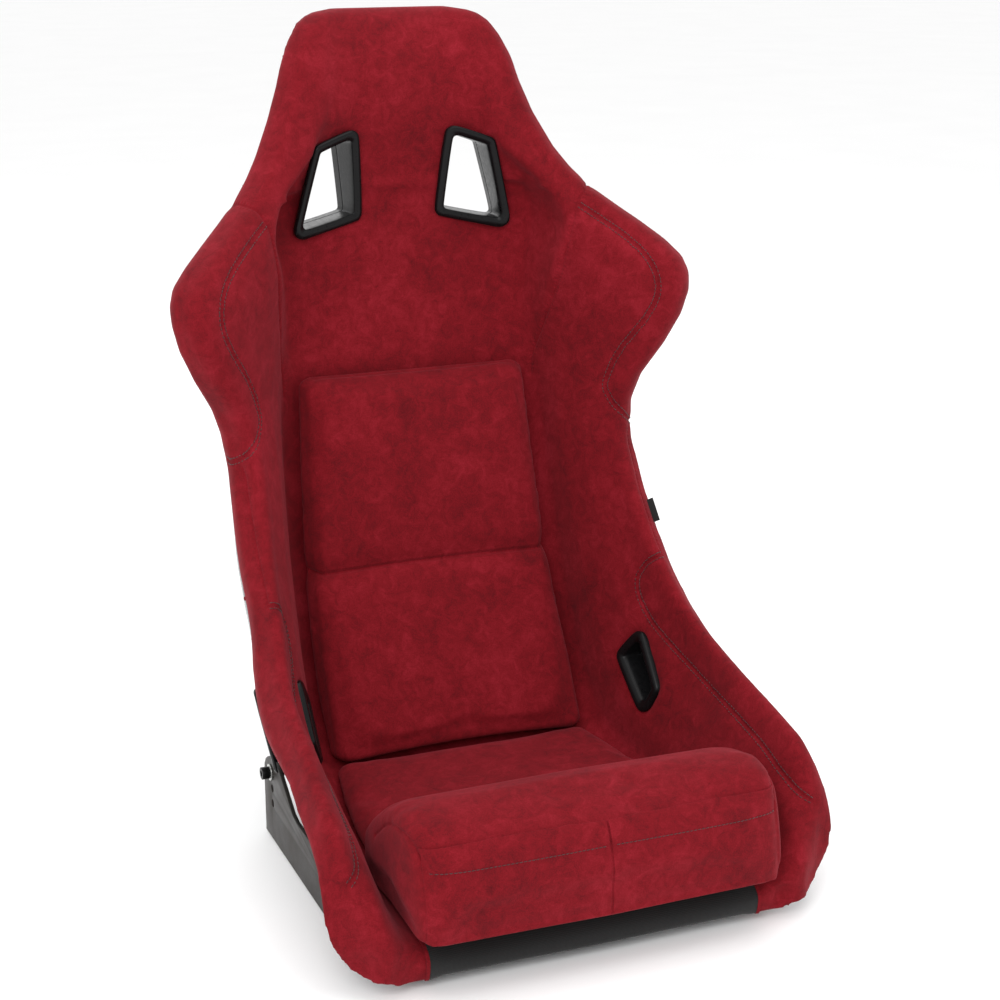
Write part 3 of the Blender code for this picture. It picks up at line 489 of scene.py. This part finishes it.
def laid_on(tree, line, smooth=6):
    """The line laid on the surface: points, normals and tangents."""
    for _ in range(2):
        line = np.array([tree.find_nearest(Vector(p))[0] for p in line])
        for _ in range(smooth):
            line[1:-1] = line[1:-1] * .5 + (line[:-2] + line[2:]) * .25
    found = [tree.find_nearest(Vector(p)) for p in line]
    normal = np.array([f[1] for f in found])
    for _ in range(8):
        normal[1:-1] = normal[1:-1] * .5 + (normal[:-2] + normal[2:]) * .25
    normal /= np.linalg.norm(normal, axis=1)[:, None]
    tangent = np.gradient(line, axis=0)
    tangent /= np.maximum(np.linalg.norm(tangent, axis=1), 1e-9)[:, None]
    return np.array([f[0] for f in found]), normal, tangent


def nearness(co, lines):
    """Distance from each point to the nearest seam, and how far along that seam it is, in metres."""
    every = np.concatenate([line[0] for line in lines])
    along = np.concatenate([np.arange(len(line[0])) * SEAM_STEP for line in lines])
    tree = KDTree(len(every))
    for i, p in enumerate(every):
        tree.insert(p, i)
    tree.balance()
    found = [tree.find(p) for p in co]
    return np.array([f[2] for f in found]), along[[f[1] for f in found]]


def refine_near(obj, lines, bands):
    """Splits the faces near the seams, once for each band's width."""
    for band in bands:
        near = nearness(points_of(obj), lines)[0] < band
        build = bmesh.new()
        build.from_mesh(obj.data)
        build.verts.ensure_lookup_table()
        edges = {e for f in build.faces if all(near[v.index] for v in f.verts) for e in f.edges}
        bmesh.ops.subdivide_edges(build, edges=list(edges), cuts=1, use_grid_fill=True)
        build.to_mesh(obj.data)
        build.free()


def draw_in(obj, lines, crease, valley, crease_width=1.5 * MM, valley_width=7 * MM, pucker=.25 * MM):
    """Draws the surface in along the seams: a narrow crease, a soft valley, and faint puckers at the stitches."""
    co, normal = points_of(obj), normals_of(obj)
    away, along = nearness(co, lines)
    depth = crease * np.exp(-(away / crease_width) ** 2) + valley * np.exp(-(away / valley_width) ** 2)
    wave = np.sin(along / sizes().stitch_pitch * 2 * math.pi)
    depth += pucker * wave * np.exp(-((away - 3 * MM) / (2.2 * MM)) ** 2)
    put_points(obj, co - normal * depth[:, None])


# ------------------------------------------------------------------ pieces

SUEDE_NODES = ["head_panel", "back_liner", "base_liner"]
SUEDE_NODES += [f"{panel}_{side}" for panel in ("side_panel", "wing_band", "hip_band") for side, _ in SIDES]


def ease(value, start, end):
    """0 at start, 1 at end, smooth between."""
    share = np.clip((value - start) / (end - start), 0, 1)
    return share * share * (3 - 2 * share)


def bolsters_set(co):
    """Points with the hip bolsters drawn a little narrower and further forward than their foam cores. Nothing
    moves beside the lap slots and the brackets."""
    slot_y, slot_z = .04, .14
    inwards, forwards, up = 11 * MM, 23 * MM, 6 * MM
    slot = np.hypot(co[:, 1] - slot_y, co[:, 2] - slot_z)
    share = ease(np.abs(co[:, 0]), .185, .232) * ease(co[:, 2], .38, .15) * ease(slot, .05, .15)
    share *= ease(co[:, 1], .18, .02)
    return co + share[:, None] * np.stack([-np.sign(co[:, 0]) * inwards, np.full(len(co), -forwards),
                                           np.full(len(co), up)], 1)


def front_corner(co):
    """1 at the low front of the seat, fading to 0 above and behind."""
    top, rear, fade = .17, -.08, .04
    return np.clip((top - co[:, 2]) / fade, 0, 1) * np.clip((rear - co[:, 1]) / fade, 0, 1)


class SeatBody(bpy.types.Operator):
    """Sewn cover and bare shell: one fair skin over every panel, split where the cover's edge meets the shell"""
    bl_idname = "seat.body"
    bl_label = "Cover and shell"

    def execute(self, context):
        body = cad_copy("body", "fibreglass_shell", "front_lip_strip", *SUEDE_NODES)
        # The cover's thin front corners are thickened for the remesh, and thinned again once they are one skin.
        thicken, thinned_again = 1.7 * MM, .6
        co = points_of(body)
        put_points(body, co + normals_of(body) * thicken * front_corner(co)[:, None])
        modify(body, "REMESH", mode="VOXEL", voxel_size=sizes().voxel)
        largest_island(body)
        fair(body, 30)
        co = points_of(body)
        put_points(body, co - normals_of(body) * thicken * thinned_again * front_corner(co)[:, None])
        fair(body, 14, back=.45, share=front_corner(points_of(body)))
        # The fold where the head panel meets the back liner is softened.
        middle, joint_band = .02, 16 * MM
        joint = max(v.co.z for v in NODES["back_liner"].data.vertices if abs(v.co.x) < middle)
        fair(body, 60, back=.53, share=np.exp(-((points_of(body)[:, 2] - joint) / joint_band) ** 2))
        co = points_of(body)
        to_cover = distances(tree_from("front_lip_strip", *SUEDE_NODES), co)
        lead = to_cover - distances(tree_from("fibreglass_shell"), co)      # above 0 on the bare shell
        edges = edges_of(body)
        # Slivers of shell between two panels are cover, and specks of cover on the shell are shell.
        bare = largest_patch(edges, lead > 0)
        sewn = largest_patch(edges, ~bare)
        clear, rounds = .4 * MM, 6
        lead = np.where(sewn, np.minimum(lead, -clear), np.maximum(lead, clear))
        for _ in range(rounds):
            total = np.bincount(edges[:, 0], lead[edges[:, 1]], len(lead)) + np.bincount(
                edges[:, 1], lead[edges[:, 0]], len(lead))
            degree = np.bincount(edges.ravel(), minlength=len(lead))
            lead = .5 * lead + .5 * total / degree
        put_points(body, bolsters_set(co))
        cover = self.part(body, "suede_cover", -lead, 0)
        shell = self.part(body, "gelcoat_shell", lead, 8 * MM)
        bpy.data.objects.remove(body)
        self.sew(cover)
        smooth_look(cover, look(brushed_micro_suede))
        smooth_look(shell, look(flake_gelcoat))
        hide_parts(*SUEDE_NODES)
        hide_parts("fibreglass_shell")
        for piece in (cover, shell):
            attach(piece, "seat")
        return {"FINISHED"}

    @staticmethod
    def part(body, name, lead, border):
        """The faces where lead is above 0. Without a border, the edge is drawn onto the line where lead is 0 and
        hemmed; with one, it runs on under the other part."""
        made = body.copy()
        made.data = body.data.copy()
        made.name = made.data.name = name
        SCENE.collection.objects.link(made)
        dive, steepness, hem, rim_rounds = 4.5 * MM, .9, 3 * MM, 12
        build = bmesh.new()
        build.from_mesh(made.data)
        build.verts.ensure_lookup_table()
        if border:
            inward = normals_of(made) * np.clip(-lead * steepness, 0, dive)[:, None]
            for v in build.verts:
                v.co -= Vector(inward[v.index])
            drop = [v for v in build.verts if lead[v.index] < -border]
        else:
            place, drop = {}, []
            for v in build.verts:
                if lead[v.index] >= 0:
                    continue
                inside = [e.other_vert(v) for e in v.link_edges if lead[e.other_vert(v).index] >= 0]
                if not inside:
                    drop.append(v)
                    continue
                cuts = [v.co.lerp(w.co, -lead[v.index] / (lead[w.index] - lead[v.index])) for w in inside]
                place[v] = sum(cuts, Vector()) / len(cuts)
            for v, co in place.items():
                v.co = co
        bmesh.ops.delete(build, geom=drop, context="VERTS")
        if not border:
            outside = [f for f in build.faces if all(v in place for v in f.verts)]
            bmesh.ops.delete(build, geom=outside, context="FACES")
            for _ in range(rim_rounds):
                rim = [v for v in build.verts if v.is_boundary]
                moved = {v: [e.other_vert(v).co for e in v.link_edges if e.is_boundary] for v in rim}
                moved = {v: v.co * .5 + sum(near, Vector()) * (.5 / len(near))
                         for v, near in moved.items() if near}
                for v, co in moved.items():
                    v.co = co
            build.normal_update()
            normal = {v: v.normal.copy() for v in build.verts if v.is_boundary}
            rim = [e for e in build.edges if e.is_boundary]
            new = bmesh.ops.extrude_edge_only(build, edges=rim)["geom"]
            old = KDTree(len(normal))
            keys = list(normal)
            for i, v in enumerate(keys):
                old.insert(v.co, i)
            old.balance()
            for v in new:
                if isinstance(v, bmesh.types.BMVert):
                    v.co -= normal[keys[old.find(v.co)[1]]] * hem
        build.to_mesh(made.data)
        build.free()
        return made

    @staticmethod
    def sew(cover):
        tree = mesh_tree(cover)
        for names in (PLAIN_SEAMS, TOPSTITCHED_SEAMS):
            for name, points in names.items():
                for side, _ in SIDES:
                    line = bolsters_set(curve_through(points if side == "right" else flipped(points)))
                    LAID[f"{name}_{side}"] = laid_on(tree, line)
        lines = list(LAID.values())
        refine_near(cover, lines, (9 * MM, 5 * MM))
        draw_in(cover, lines, sizes().crease, sizes().valley)


def stuffed(name, source, far):
    """A cushion from its CAD solid: remeshed, swollen by its filling, and faired. far(points, normals) gives the
    most that each point may move."""
    slack, frames = 1.2, 20
    obj = cad_copy(name, source)
    modify(obj, "REMESH", mode="VOXEL", voxel_size=sizes().cushion_voxel)
    fair(obj, 8)
    co, normal = points_of(obj), normals_of(obj)
    start = co - normal * slack * MM
    put_points(obj, start)
    cloth = obj.modifiers.new("cloth", "CLOTH")
    cloth.settings.quality = 5
    cloth.settings.use_pressure = True
    cloth.settings.uniform_pressure_force = sizes().pressure
    cloth.settings.effector_weights.gravity = 0
    for number in range(1, frames + 1):
        SCENE.frame_set(number)
    only(obj)
    bpy.ops.object.modifier_apply(modifier=cloth.name)
    SCENE.frame_set(1)
    move = points_of(obj) - start
    amount = np.linalg.norm(move, axis=1)
    most = far(co, normal)
    put_points(obj, start + move * np.minimum(1, most / np.maximum(amount, 1e-9))[:, None])
    fair(obj, 3)
    return obj


def cushion_look(obj, body, *replaced):
    modify(obj, "SUBSURF", levels=1, render_levels=1)
    smooth_look(obj, look(brushed_micro_suede))
    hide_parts(*replaced)
    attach(obj, body)


class SeatBackCushion(bpy.types.Operator):
    """Back cushion: a crowned pad in two fields with a sewn channel between them"""
    bl_idname = "seat.back_cushion"
    bl_label = "Back cushion"

    def execute(self, context):
        lo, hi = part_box("back_cushion")
        obj = stuffed("back_cushion_pad", "back_cushion",
                      lambda co, n: np.where(n[:, 1] < 0, sizes().swell, 1 * MM))
        # The pad's foot comes down to the base cushion.
        foot, foot_shift = .10, (0, -5.5 * MM, -9.5 * MM)
        co = points_of(obj)
        co += np.clip(1 - (co[:, 2:] - lo.z) / foot, 0, 1) ** 1.5 * np.array(foot_shift)
        put_points(obj, co)
        # The channel stands 47 % up the pad and arches 3 mm, and it stops just short of the pad's sides.
        middle, arch, reach, ahead = .47, 3, .97, .1
        z = lo.z + (hi.z - lo.z) * middle
        channel = curve_through([(x * hi.x, lo.y, z + (1 - x * x) * arch * MM)
                                 for x in (-1, -.6, -.2, .2, .6, 1)])
        tree = mesh_tree(obj)
        front = [tree.ray_cast(Vector((p[0] * reach, lo.y - ahead, p[2])), Vector((0, 1, 0))) for p in channel]
        line = np.array([f[0] for f in front if f[0] is not None])
        laid = laid_on(tree, line)
        refine_near(obj, [laid], (14 * MM, 7 * MM))
        draw_in(obj, [laid], crease=3.2 * MM, valley=3.4 * MM, crease_width=2 * MM, valley_width=11 * MM,
                pucker=0)
        crown(obj, lo, hi, height=3 * MM, split=z)
        cushion_look(obj, "back_pad", "back_cushion")
        return {"FINISHED"}


def crown(obj, lo, hi, height, split):
    """Lifts the middle of each field of the back cushion towards the sitter."""
    foot = .02
    co, normal = points_of(obj), normals_of(obj)
    across = np.clip(1 - (co[:, 0] / hi.x) ** 2, 0, 1)
    above = co[:, 2] > split
    start = np.where(above, split, lo.z + foot)
    end = np.where(above, hi.z, split)
    share = np.clip((co[:, 2] - start) / (end - start), 0, 1)
    lift = height * np.sin(share * math.pi) * across * np.clip(-normal[:, 1], 0, 1)
    co[:, 1] -= lift
    put_points(obj, co)


class SeatBaseCushion(bpy.types.Operator):
    """Base cushion: the flat pad between the back cushion and the thigh cushion"""
    bl_idname = "seat.base_cushion"
    bl_label = "Base cushion"

    def execute(self, context):
        obj = stuffed("base_cushion_pad", "base_cushion", lambda co, n: np.where(n[:, 2] > .3, 4 * MM, .8 * MM))
        # Its rear runs back to the foot of the back cushion.
        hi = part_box("base_cushion")[1]
        band, shift = .08, (0, 10 * MM, 2 * MM)
        co = points_of(obj)
        rear = np.clip(1 - (hi.y - co[:, 1]) / band, 0, 1) ** 1.5
        co += rear[:, None] * np.array(shift)
        put_points(obj, co)
        cushion_look(obj, "base_pad", "base_cushion")
        return {"FINISHED"}


class SeatThighCushion(bpy.types.Operator):
    """Thigh cushion with its end seams and two pocket panels"""
    bl_idname = "seat.thigh_cushion"
    bl_label = "Thigh cushion"

    def execute(self, context):
        lo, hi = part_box("thigh_cushion")
        obj = stuffed("thigh_cushion_pad", "thigh_cushion",
                      lambda co, n: np.where(n[:, 2] > -.5, 4 * MM, .6 * MM))
        # Its ends bulge out to the bolsters.
        flat, bulge = .10, 6
        co = points_of(obj)
        outward = np.clip((np.abs(co[:, 0]) - flat) / (hi.x - flat), 0, 1) ** 2
        co[:, 0] += np.sign(co[:, 0]) * bulge * MM * outward
        put_points(obj, co)
        tree = mesh_tree(obj)
        end = hi.x - 2 * MM
        lines = []
        for _, sign in SIDES:
            arc = [(.028, .058), (.012, .090), (.022, .125), (.040, .142), (.070, .150), (.105, .142),
                   (.140, .116)]
            path = [(sign * end, lo.y + y - .012, z) for y, z in arc]
            lines.append(laid_on(tree, curve_through(path)))
        refine_near(obj, lines, (9 * MM, 5 * MM))
        draw_in(obj, lines, crease=1.4 * MM, valley=1.2 * MM, crease_width=1.5 * MM, valley_width=6 * MM,
                pucker=0)
        self.pockets(obj, lo, hi)
        cushion_look(obj, "thigh_pad", "thigh_cushion")
        return {"FINISHED"}

    def pockets(self, cushion, lo, hi):
        """Two pocket panels laid on the cushion's front face, each with a turned hem at its mouth."""
        tree = mesh_tree(cushion)
        mouth, foot, half = .146, .060, hi.x - 4 * MM
        hem, hem_lift, lift_flat, lift_loose = 19 * MM, .9, 1.1, 2.0
        middle_gap, row_count, column_count, ahead = 1.0 * MM, 34, 56, .1
        for side, sign in SIDES:
            rows = np.linspace(foot, mouth, row_count)
            columns = np.linspace(middle_gap, half, column_count)
            build = bmesh.new()
            grid = []
            for z in rows:
                row = []
                for x in columns:
                    found = tree.ray_cast(Vector((sign * x, lo.y - ahead, z)), Vector((0, 1, 0)))
                    point, normal = found[0], found[1]
                    share = (x - columns[0]) / (half - columns[0])
                    # Panels lie flat at their sewn sides and foot, and stand off a little at the mouth.
                    loose = math.sin(share * math.pi) * ((z - foot) / (mouth - foot)) ** 2
                    lift = lift_flat * MM + lift_loose * MM * loose
                    lift += hem_lift * MM if z > mouth - hem else 0
                    row.append(build.verts.new(point + normal * lift))
                grid.append(row)
            for a, b in zip(grid, grid[1:]):
                for i in range(len(a) - 1):
                    face = (a[i], a[i + 1], b[i + 1], b[i])
                    build.faces.new(face if sign > 0 else (face[0], face[3], face[2], face[1]))
            panel = object_from(build, f"pocket_{side}")
            modify(panel, "SOLIDIFY", thickness=1.6 * MM, offset=-1)
            modify(panel, "BEVEL", width=.5 * MM, segments=2, limit_method="ANGLE", angle_limit=math.radians(40))
            modify(panel, "SUBSURF", levels=1, render_levels=1)
            smooth_look(panel, look(brushed_micro_suede))
            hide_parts(f"pocket_panel_{side}")
            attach(panel, "thigh_pad")
            surface = mesh_tree(panel)
            line = [(sign * x, lo.y - .02, mouth - hem) for x in np.linspace(3 * MM, half - 2 * MM, 8)]
            hits = [surface.ray_cast(Vector((p[0], lo.y - ahead, p[2])), Vector((0, 1, 0)))[0]
                    for p in curve_through(line)]
            LAID[f"hem_{side}"] = laid_on(surface, np.array([h for h in hits if h is not None]))


def one_stitch():
    """A single stitch, 1 unit long on X: a cylinder drawn in at both ends, which dip into the cloth."""
    middle, end_length, dip, end_width = .5, .25, .3, .45
    bpy.ops.object.select_all(action="DESELECT")
    bpy.ops.mesh.primitive_cylinder_add(vertices=6, radius=.5, depth=middle, rotation=(0, math.pi / 2, 0))
    obj = bpy.context.object
    bpy.ops.object.transform_apply(location=True, rotation=True, scale=True)
    bpy.ops.object.mode_set(mode="EDIT")
    for end in (-1, 1):
        bpy.ops.mesh.select_mode(type="FACE")
        bpy.ops.mesh.select_all(action="DESELECT")
        build = bmesh.from_edit_mesh(obj.data)
        for f in build.faces:
            f.select_set(f.normal.x * end > .9)
        bmesh.update_edit_mesh(obj.data)
        bpy.ops.mesh.extrude_region_move(TRANSFORM_OT_translate={"value": (end_length * end, 0, -dip)})
        bpy.ops.transform.resize(value=(1, end_width, end_width))
    bpy.ops.object.mode_set(mode="OBJECT")
    points = points_of(obj)
    faces = [tuple(p.vertices) for p in obj.data.polygons]
    bpy.data.objects.remove(obj)
    return points, faces


class SeatStitching(bpy.types.Operator):
    """Topstitching: one modelled stitch copied along every topstitched seam and pocket hem"""
    bl_idname = "seat.stitching"
    bl_label = "Stitching"

    def execute(self, context):
        shape, faces = one_stitch()
        groups = {"seat": [], "thigh_pad": []}
        for name in TOPSTITCHED_SEAMS:
            for side, sign in SIDES:
                groups["seat"] += [(LAID[f"{name}_{side}"], row * sizes().stitch_row) for row in (-1, 1)]
        for side, _ in SIDES:
            groups["thigh_pad"].append((LAID[f"hem_{side}"], 0))
        trees = {"seat": mesh_tree(bpy.data.objects["suede_cover"]), "thigh_pad": None}
        for body, rows in groups.items():
            points, polygons = [], []
            for (line, normal, tangent), offset in rows:
                self.row(line, normal, tangent, offset, trees[body], shape, faces, points, polygons)
            mesh = bpy.data.meshes.new(f"topstitching_{body}")
            mesh.from_pydata(np.concatenate(points), [], polygons)
            obj = bpy.data.objects.new(mesh.name, mesh)
            SCENE.collection.objects.link(obj)
            smooth_look(obj, look(bonded_thread))
            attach(obj, body)
        return {"FINISHED"}

    @staticmethod
    def row(line, normal, tangent, offset, tree, shape, faces, points, polygons):
        pitch, thread = sizes().stitch_pitch, sizes().thread
        stitch_share, stands_out = .78, .25
        step = max(1, int(round(pitch / SEAM_STEP)))
        for i in range(step, len(line) - step, step):
            side = np.cross(normal[i], tangent[i])
            at, out = line[i] + side * offset, normal[i]
            if tree is not None:
                found = tree.find_nearest(Vector(at))
                at, out = np.array(found[0]), np.array(found[1])
            along = tangent[i] - out * (tangent[i] @ out)
            along /= np.linalg.norm(along)
            across = np.cross(out, along)
            local = shape * (pitch * stitch_share, thread, thread)
            start = sum(len(p) for p in points)
            points.append(at + out * thread * stands_out + local[:, :1] * along + local[:, 1:2] * across
                          + local[:, 2:] * out)
            polygons += [tuple(start + v for v in f) for f in faces]


class SeatLipStrip(bpy.types.Operator):
    """Black cloth strip across the front lip, with a narrow suede welt at both ends"""
    bl_idname = "seat.lip_strip"
    bl_label = "Lip strip"

    def execute(self, context):
        source = bpy.data.objects["suede_cover"]
        half, top, welt, rear = .1685, .062, 3.5 * MM, -.2
        for name, low, high, lift, maker, slot in (
                ("lip_strip", -half, half, .9 * MM, woven_cloth, "black_cloth"),
                ("lip_welt_right", half, half + welt, 1.5 * MM, brushed_micro_suede, "burgundy_suede"),
                ("lip_welt_left", -half - welt, -half, 1.5 * MM, brushed_micro_suede, "burgundy_suede")):
            build = bmesh.new()
            build.from_mesh(source.data)
            for place, direction in (((low, 0, 0), (-1, 0, 0)), ((high, 0, 0), (1, 0, 0)),
                                     ((0, 0, top), (0, 0, 1)), ((0, rear, 0), (0, 1, 0))):
                bmesh.ops.bisect_plane(build, geom=build.verts[:] + build.edges[:] + build.faces[:],
                                       plane_co=place, plane_no=direction, clear_outer=True)
            obj = object_from(build, name)
            put_points(obj, points_of(obj) + normals_of(obj) * lift)
            modify(obj, "SOLIDIFY", thickness=lift * .9, offset=-1)
            if "welt" in name:
                modify(obj, "BEVEL", width=.6 * MM, segments=2, limit_method="ANGLE",
                       angle_limit=math.radians(50))
            smooth_look(obj, look(maker), angle=50)
            if name == "lip_strip":
                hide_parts("front_lip_strip")
            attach(obj, "seat")
        return {"FINISHED"}


def rounded_copy(name, source, material, body, width):
    """A CAD piece with its flat triangles dissolved and its edges rounded."""
    obj = cad_copy(name, source)
    only(obj)
    bpy.ops.object.mode_set(mode="EDIT")
    bpy.ops.mesh.select_all(action="SELECT")
    bpy.ops.mesh.dissolve_limited(angle_limit=math.radians(1))
    bpy.ops.object.mode_set(mode="OBJECT")
    modify(obj, "BEVEL", width=width, segments=2, limit_method="ANGLE", angle_limit=math.radians(32))
    smooth_look(obj, material, angle=30)
    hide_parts(source)
    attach(obj, body)
    return obj


class SeatBezels(bpy.types.Operator):
    """Harness bezels: moulded frames with rounded rims and corners, front and rear"""
    bl_idname = "seat.bezels"
    bl_label = "Bezels"

    def execute(self, context):
        for source in sorted(n for n in NODES if n.endswith("bezel")):
            obj = cad_copy(source.replace("bezel", "frame"), source)
            only(obj)
            bpy.ops.object.mode_set(mode="EDIT")
            bpy.ops.mesh.select_all(action="SELECT")
            bpy.ops.mesh.tris_convert_to_quads(face_threshold=math.radians(60), shape_threshold=math.radians(60))
            bpy.ops.object.mode_set(mode="OBJECT")
            modify(obj, "BEVEL", width=.5 * MM, segments=2, limit_method="ANGLE", angle_limit=math.radians(40))
            modify(obj, "SUBSURF", levels=2, render_levels=2)
            smooth_look(obj, look(moulded_abs))
            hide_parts(source)
            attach(obj, "seat")
        return {"FINISHED"}


class SeatBrackets(bpy.types.Operator):
    """Side brackets: folded plate with broken edges"""
    bl_idname = "seat.brackets"
    bl_label = "Brackets"

    def execute(self, context):
        for side, _ in SIDES:
            rounded_copy(f"bracket_{side}", f"side_bracket_{side}", look(powder_coat),
                         "seat", width=.7 * MM)
        return {"FINISHED"}


class SeatFasteners(bpy.types.Operator):
    """Socket-head bolts with hex recesses; washers, bushes and inserts with broken edges"""
    bl_idname = "seat.fasteners"
    bl_label = "Fasteners"

    def execute(self, context):
        for end in ("front", "rear"):
            for side, sign in SIDES:
                self.bolt(f"bolt_{end}_{side}", sign)
                for kind in ("washer", "spacer_bush", "threaded_insert"):
                    name = f"{kind}_{end}_{side}"
                    if name in NODES:
                        rounded_copy(name + "_plated", name, look(zinc_plate), "seat",
                                     width=.25 * MM)
        return {"FINISHED"}

    @staticmethod
    def bolt(source, sign):
        """A bolt over its CAD node: a shank, a head with a chamfered rim, and a hex recess."""
        lo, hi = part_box(source)
        head_length, radius = 7.9 * MM, (hi.y - lo.y) / 2
        shank_radius, recess_depth, recess_share, half_flats = 4 * MM, 4 * MM, .42, 3 * MM
        y, z = (lo.y + hi.y) / 2, (lo.z + hi.z) / 2
        face = hi.x if sign > 0 else lo.x
        bpy.ops.object.select_all(action="DESELECT")
        bpy.ops.mesh.primitive_cylinder_add(vertices=48, radius=radius, depth=head_length,
                                            location=(face - sign * head_length / 2, y, z),
                                            rotation=(0, math.pi / 2, 0))
        obj = bpy.context.object
        obj.name = obj.data.name = source + "_head"
        bpy.ops.object.transform_apply(location=True, rotation=True, scale=True)
        bpy.ops.object.mode_set(mode="EDIT")
        bpy.ops.mesh.select_mode(type="FACE")

        def pick(outward):
            bpy.ops.mesh.select_all(action="DESELECT")
            build = bmesh.from_edit_mesh(obj.data)
            for f in build.faces:
                f.select_set(f.normal.x * sign * outward > .9)
            bmesh.update_edit_mesh(obj.data)

        pick(1)
        bpy.ops.mesh.inset(thickness=radius * recess_share)
        bpy.ops.mesh.extrude_region_move(TRANSFORM_OT_translate={"value": (-sign * recess_depth, 0, 0)})
        pick(-1)
        bpy.ops.mesh.inset(thickness=radius - shank_radius)
        shank = hi.x - lo.x - head_length
        bpy.ops.mesh.extrude_region_move(TRANSFORM_OT_translate={"value": (-sign * shank, 0, 0)})
        bpy.ops.object.mode_set(mode="OBJECT")
        # The recess is hexagonal: its round wall is drawn out to six flats.
        co = points_of(obj)
        depth = (face - co[:, 0]) * sign
        arm = co[:, 1:] - (y, z)
        reach = np.linalg.norm(arm, axis=1)
        wall = (reach < radius * .7) & (reach > 1 * MM) & (depth < recess_depth + .5 * MM)
        angle = np.arctan2(arm[:, 1], arm[:, 0])
        flats = half_flats / np.cos((angle + math.pi / 6) % (math.pi / 3) - math.pi / 6)
        scale = np.where(wall, flats / np.maximum(reach, 1e-9), 1)
        co[:, 1:] = (y, z) + arm * scale[:, None]
        put_points(obj, co)
        modify(obj, "BEVEL", width=.35 * MM, segments=2, limit_method="ANGLE", angle_limit=math.radians(45))
        smooth_look(obj, look(black_oxide), angle=30)
        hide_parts(source)
        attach(obj, "seat")


class SeatTrim(bpy.types.Operator):
    """Woven side tag, and the hook-and-loop strips under the cushions"""
    bl_idname = "seat.trim"
    bl_label = "Tag and strips"

    def execute(self, context):
        tag = rounded_copy("side_tag", "woven_tag", look(woven_cloth), "seat", width=.3 * MM)
        put_points(tag, bolsters_set(points_of(tag)))
        for name in sorted(n for n in NODES if n.endswith(("hook_strip", "loop_strip"))):
            NODES[name].data.materials.clear()
            NODES[name].data.materials.append(look(woven_cloth))
        return {"FINISHED"}


# ------------------------------------------------------------------ stage

def area_light(name, place, aim, size, power):
    data = bpy.data.lights.new(name, "AREA")
    data.shape = "RECTANGLE"
    data.size, data.size_y = size
    data.energy = power
    light = bpy.data.objects.new(name, data)
    light.location = place
    light.rotation_euler = (Vector(aim) - Vector(place)).to_track_quat("-Z", "Y").to_euler()
    SCENE.collection.objects.link(light)


class SeatStage(bpy.types.Operator):
    """Pale floor, soft lights and the camera"""
    bl_idname = "seat.stage"
    bl_label = "Stage"

    def execute(self, context):
        bpy.ops.object.select_all(action="DESELECT")
        floor_size, below_feet = 60, .5 * MM
        bpy.ops.mesh.primitive_plane_add(size=floor_size, location=(0, 0, CAD_BOX[0].z - below_feet))
        floor = bpy.context.object
        floor.name = "studio_floor"
        made, tree, shader, place = new_material("pale_floor_paint", Roughness=.9)
        mottle = node(tree, "ShaderNodeTexNoise", links=[("Vector", place)], sockets={"Scale": 3.0})
        shade = ramp(tree, mottle.outputs["Fac"], [(.3, linear("#FAFAFA")), (.7, linear("#FCFCFC"))])
        tree.links.new(shade.outputs["Color"], shader.inputs["Base Color"])
        floor.data.materials.append(made)
        aim = (0, 0, .4)
        area_light("key_light", (-1.6, -2.6, 2.4), aim, (1.8, 1.8), 56)
        area_light("fill_light", (2.6, -1.8, 1.6), aim, (2.0, 2.0), 6)
        area_light("top_light", (0, -.2, 3.0), aim, (2.4, 2.4), 30)
        area_light("back_light", (.6, 2.6, 1.8), aim, (2.0, 1.6), 10)
        world = bpy.data.worlds.new("studio_world")
        world.use_nodes = True
        sky = world.node_tree.nodes["Background"]
        sky.inputs["Color"].default_value = linear("#FFFFFF")
        sky.inputs["Strength"].default_value = 1.0
        SCENE.world = world
        SCENE.view_settings.view_transform = "Standard"
        # Degrees that the camera looks down, and that it stands towards the sitter's right hand.
        down, aside = 16.74, 22
        camera = bpy.data.objects.new("camera", bpy.data.cameras.new("camera"))
        camera.location = (-.7341, -1.8445, .9696)
        camera.rotation_euler = (math.radians(90 - down), 0, math.radians(-aside))
        camera.data.sensor_width = 36
        camera.data.lens = 74.14
        SCENE.collection.objects.link(camera)
        SCENE.camera = camera
        return {"FINISHED"}


class SeatPanel(bpy.types.Panel):
    """Lists the seat's sizes, colours and pieces"""
    bl_idname = "VIEW3D_PT_seat"
    bl_label = "Racing seat"
    bl_space_type = "VIEW_3D"
    bl_region_type = "UI"
    bl_category = "Seat"

    def draw(self, context):
        for group in (context.scene.seat_sizes, context.scene.seat_colours):
            box = self.layout.box()
            for name in group.__annotations__:
                box.prop(group, name)
        for operator in PIECES:
            self.layout.operator(operator.bl_idname)


PIECES = (SeatBody, SeatBackCushion, SeatBaseCushion, SeatThighCushion, SeatStitching, SeatLipStrip, SeatBezels,
          SeatBrackets, SeatFasteners, SeatTrim, SeatStage)
CLASSES = (SeatSizes, SeatColours, *PIECES, SeatPanel)


def register():
    for cls in CLASSES:
        bpy.utils.register_class(cls)
    bpy.types.Scene.seat_sizes = bpy.props.PointerProperty(type=SeatSizes)
    bpy.types.Scene.seat_colours = bpy.props.PointerProperty(type=SeatColours)


def unregister():
    del bpy.types.Scene.seat_sizes
    del bpy.types.Scene.seat_colours
    for cls in reversed(CLASSES):
        bpy.utils.unregister_class(cls)


def main():
    register()
    for operator in PIECES:
        group, name = operator.bl_idname.split(".")
        getattr(getattr(bpy.ops, group), name)()


if __name__ == "__main__":
    main()
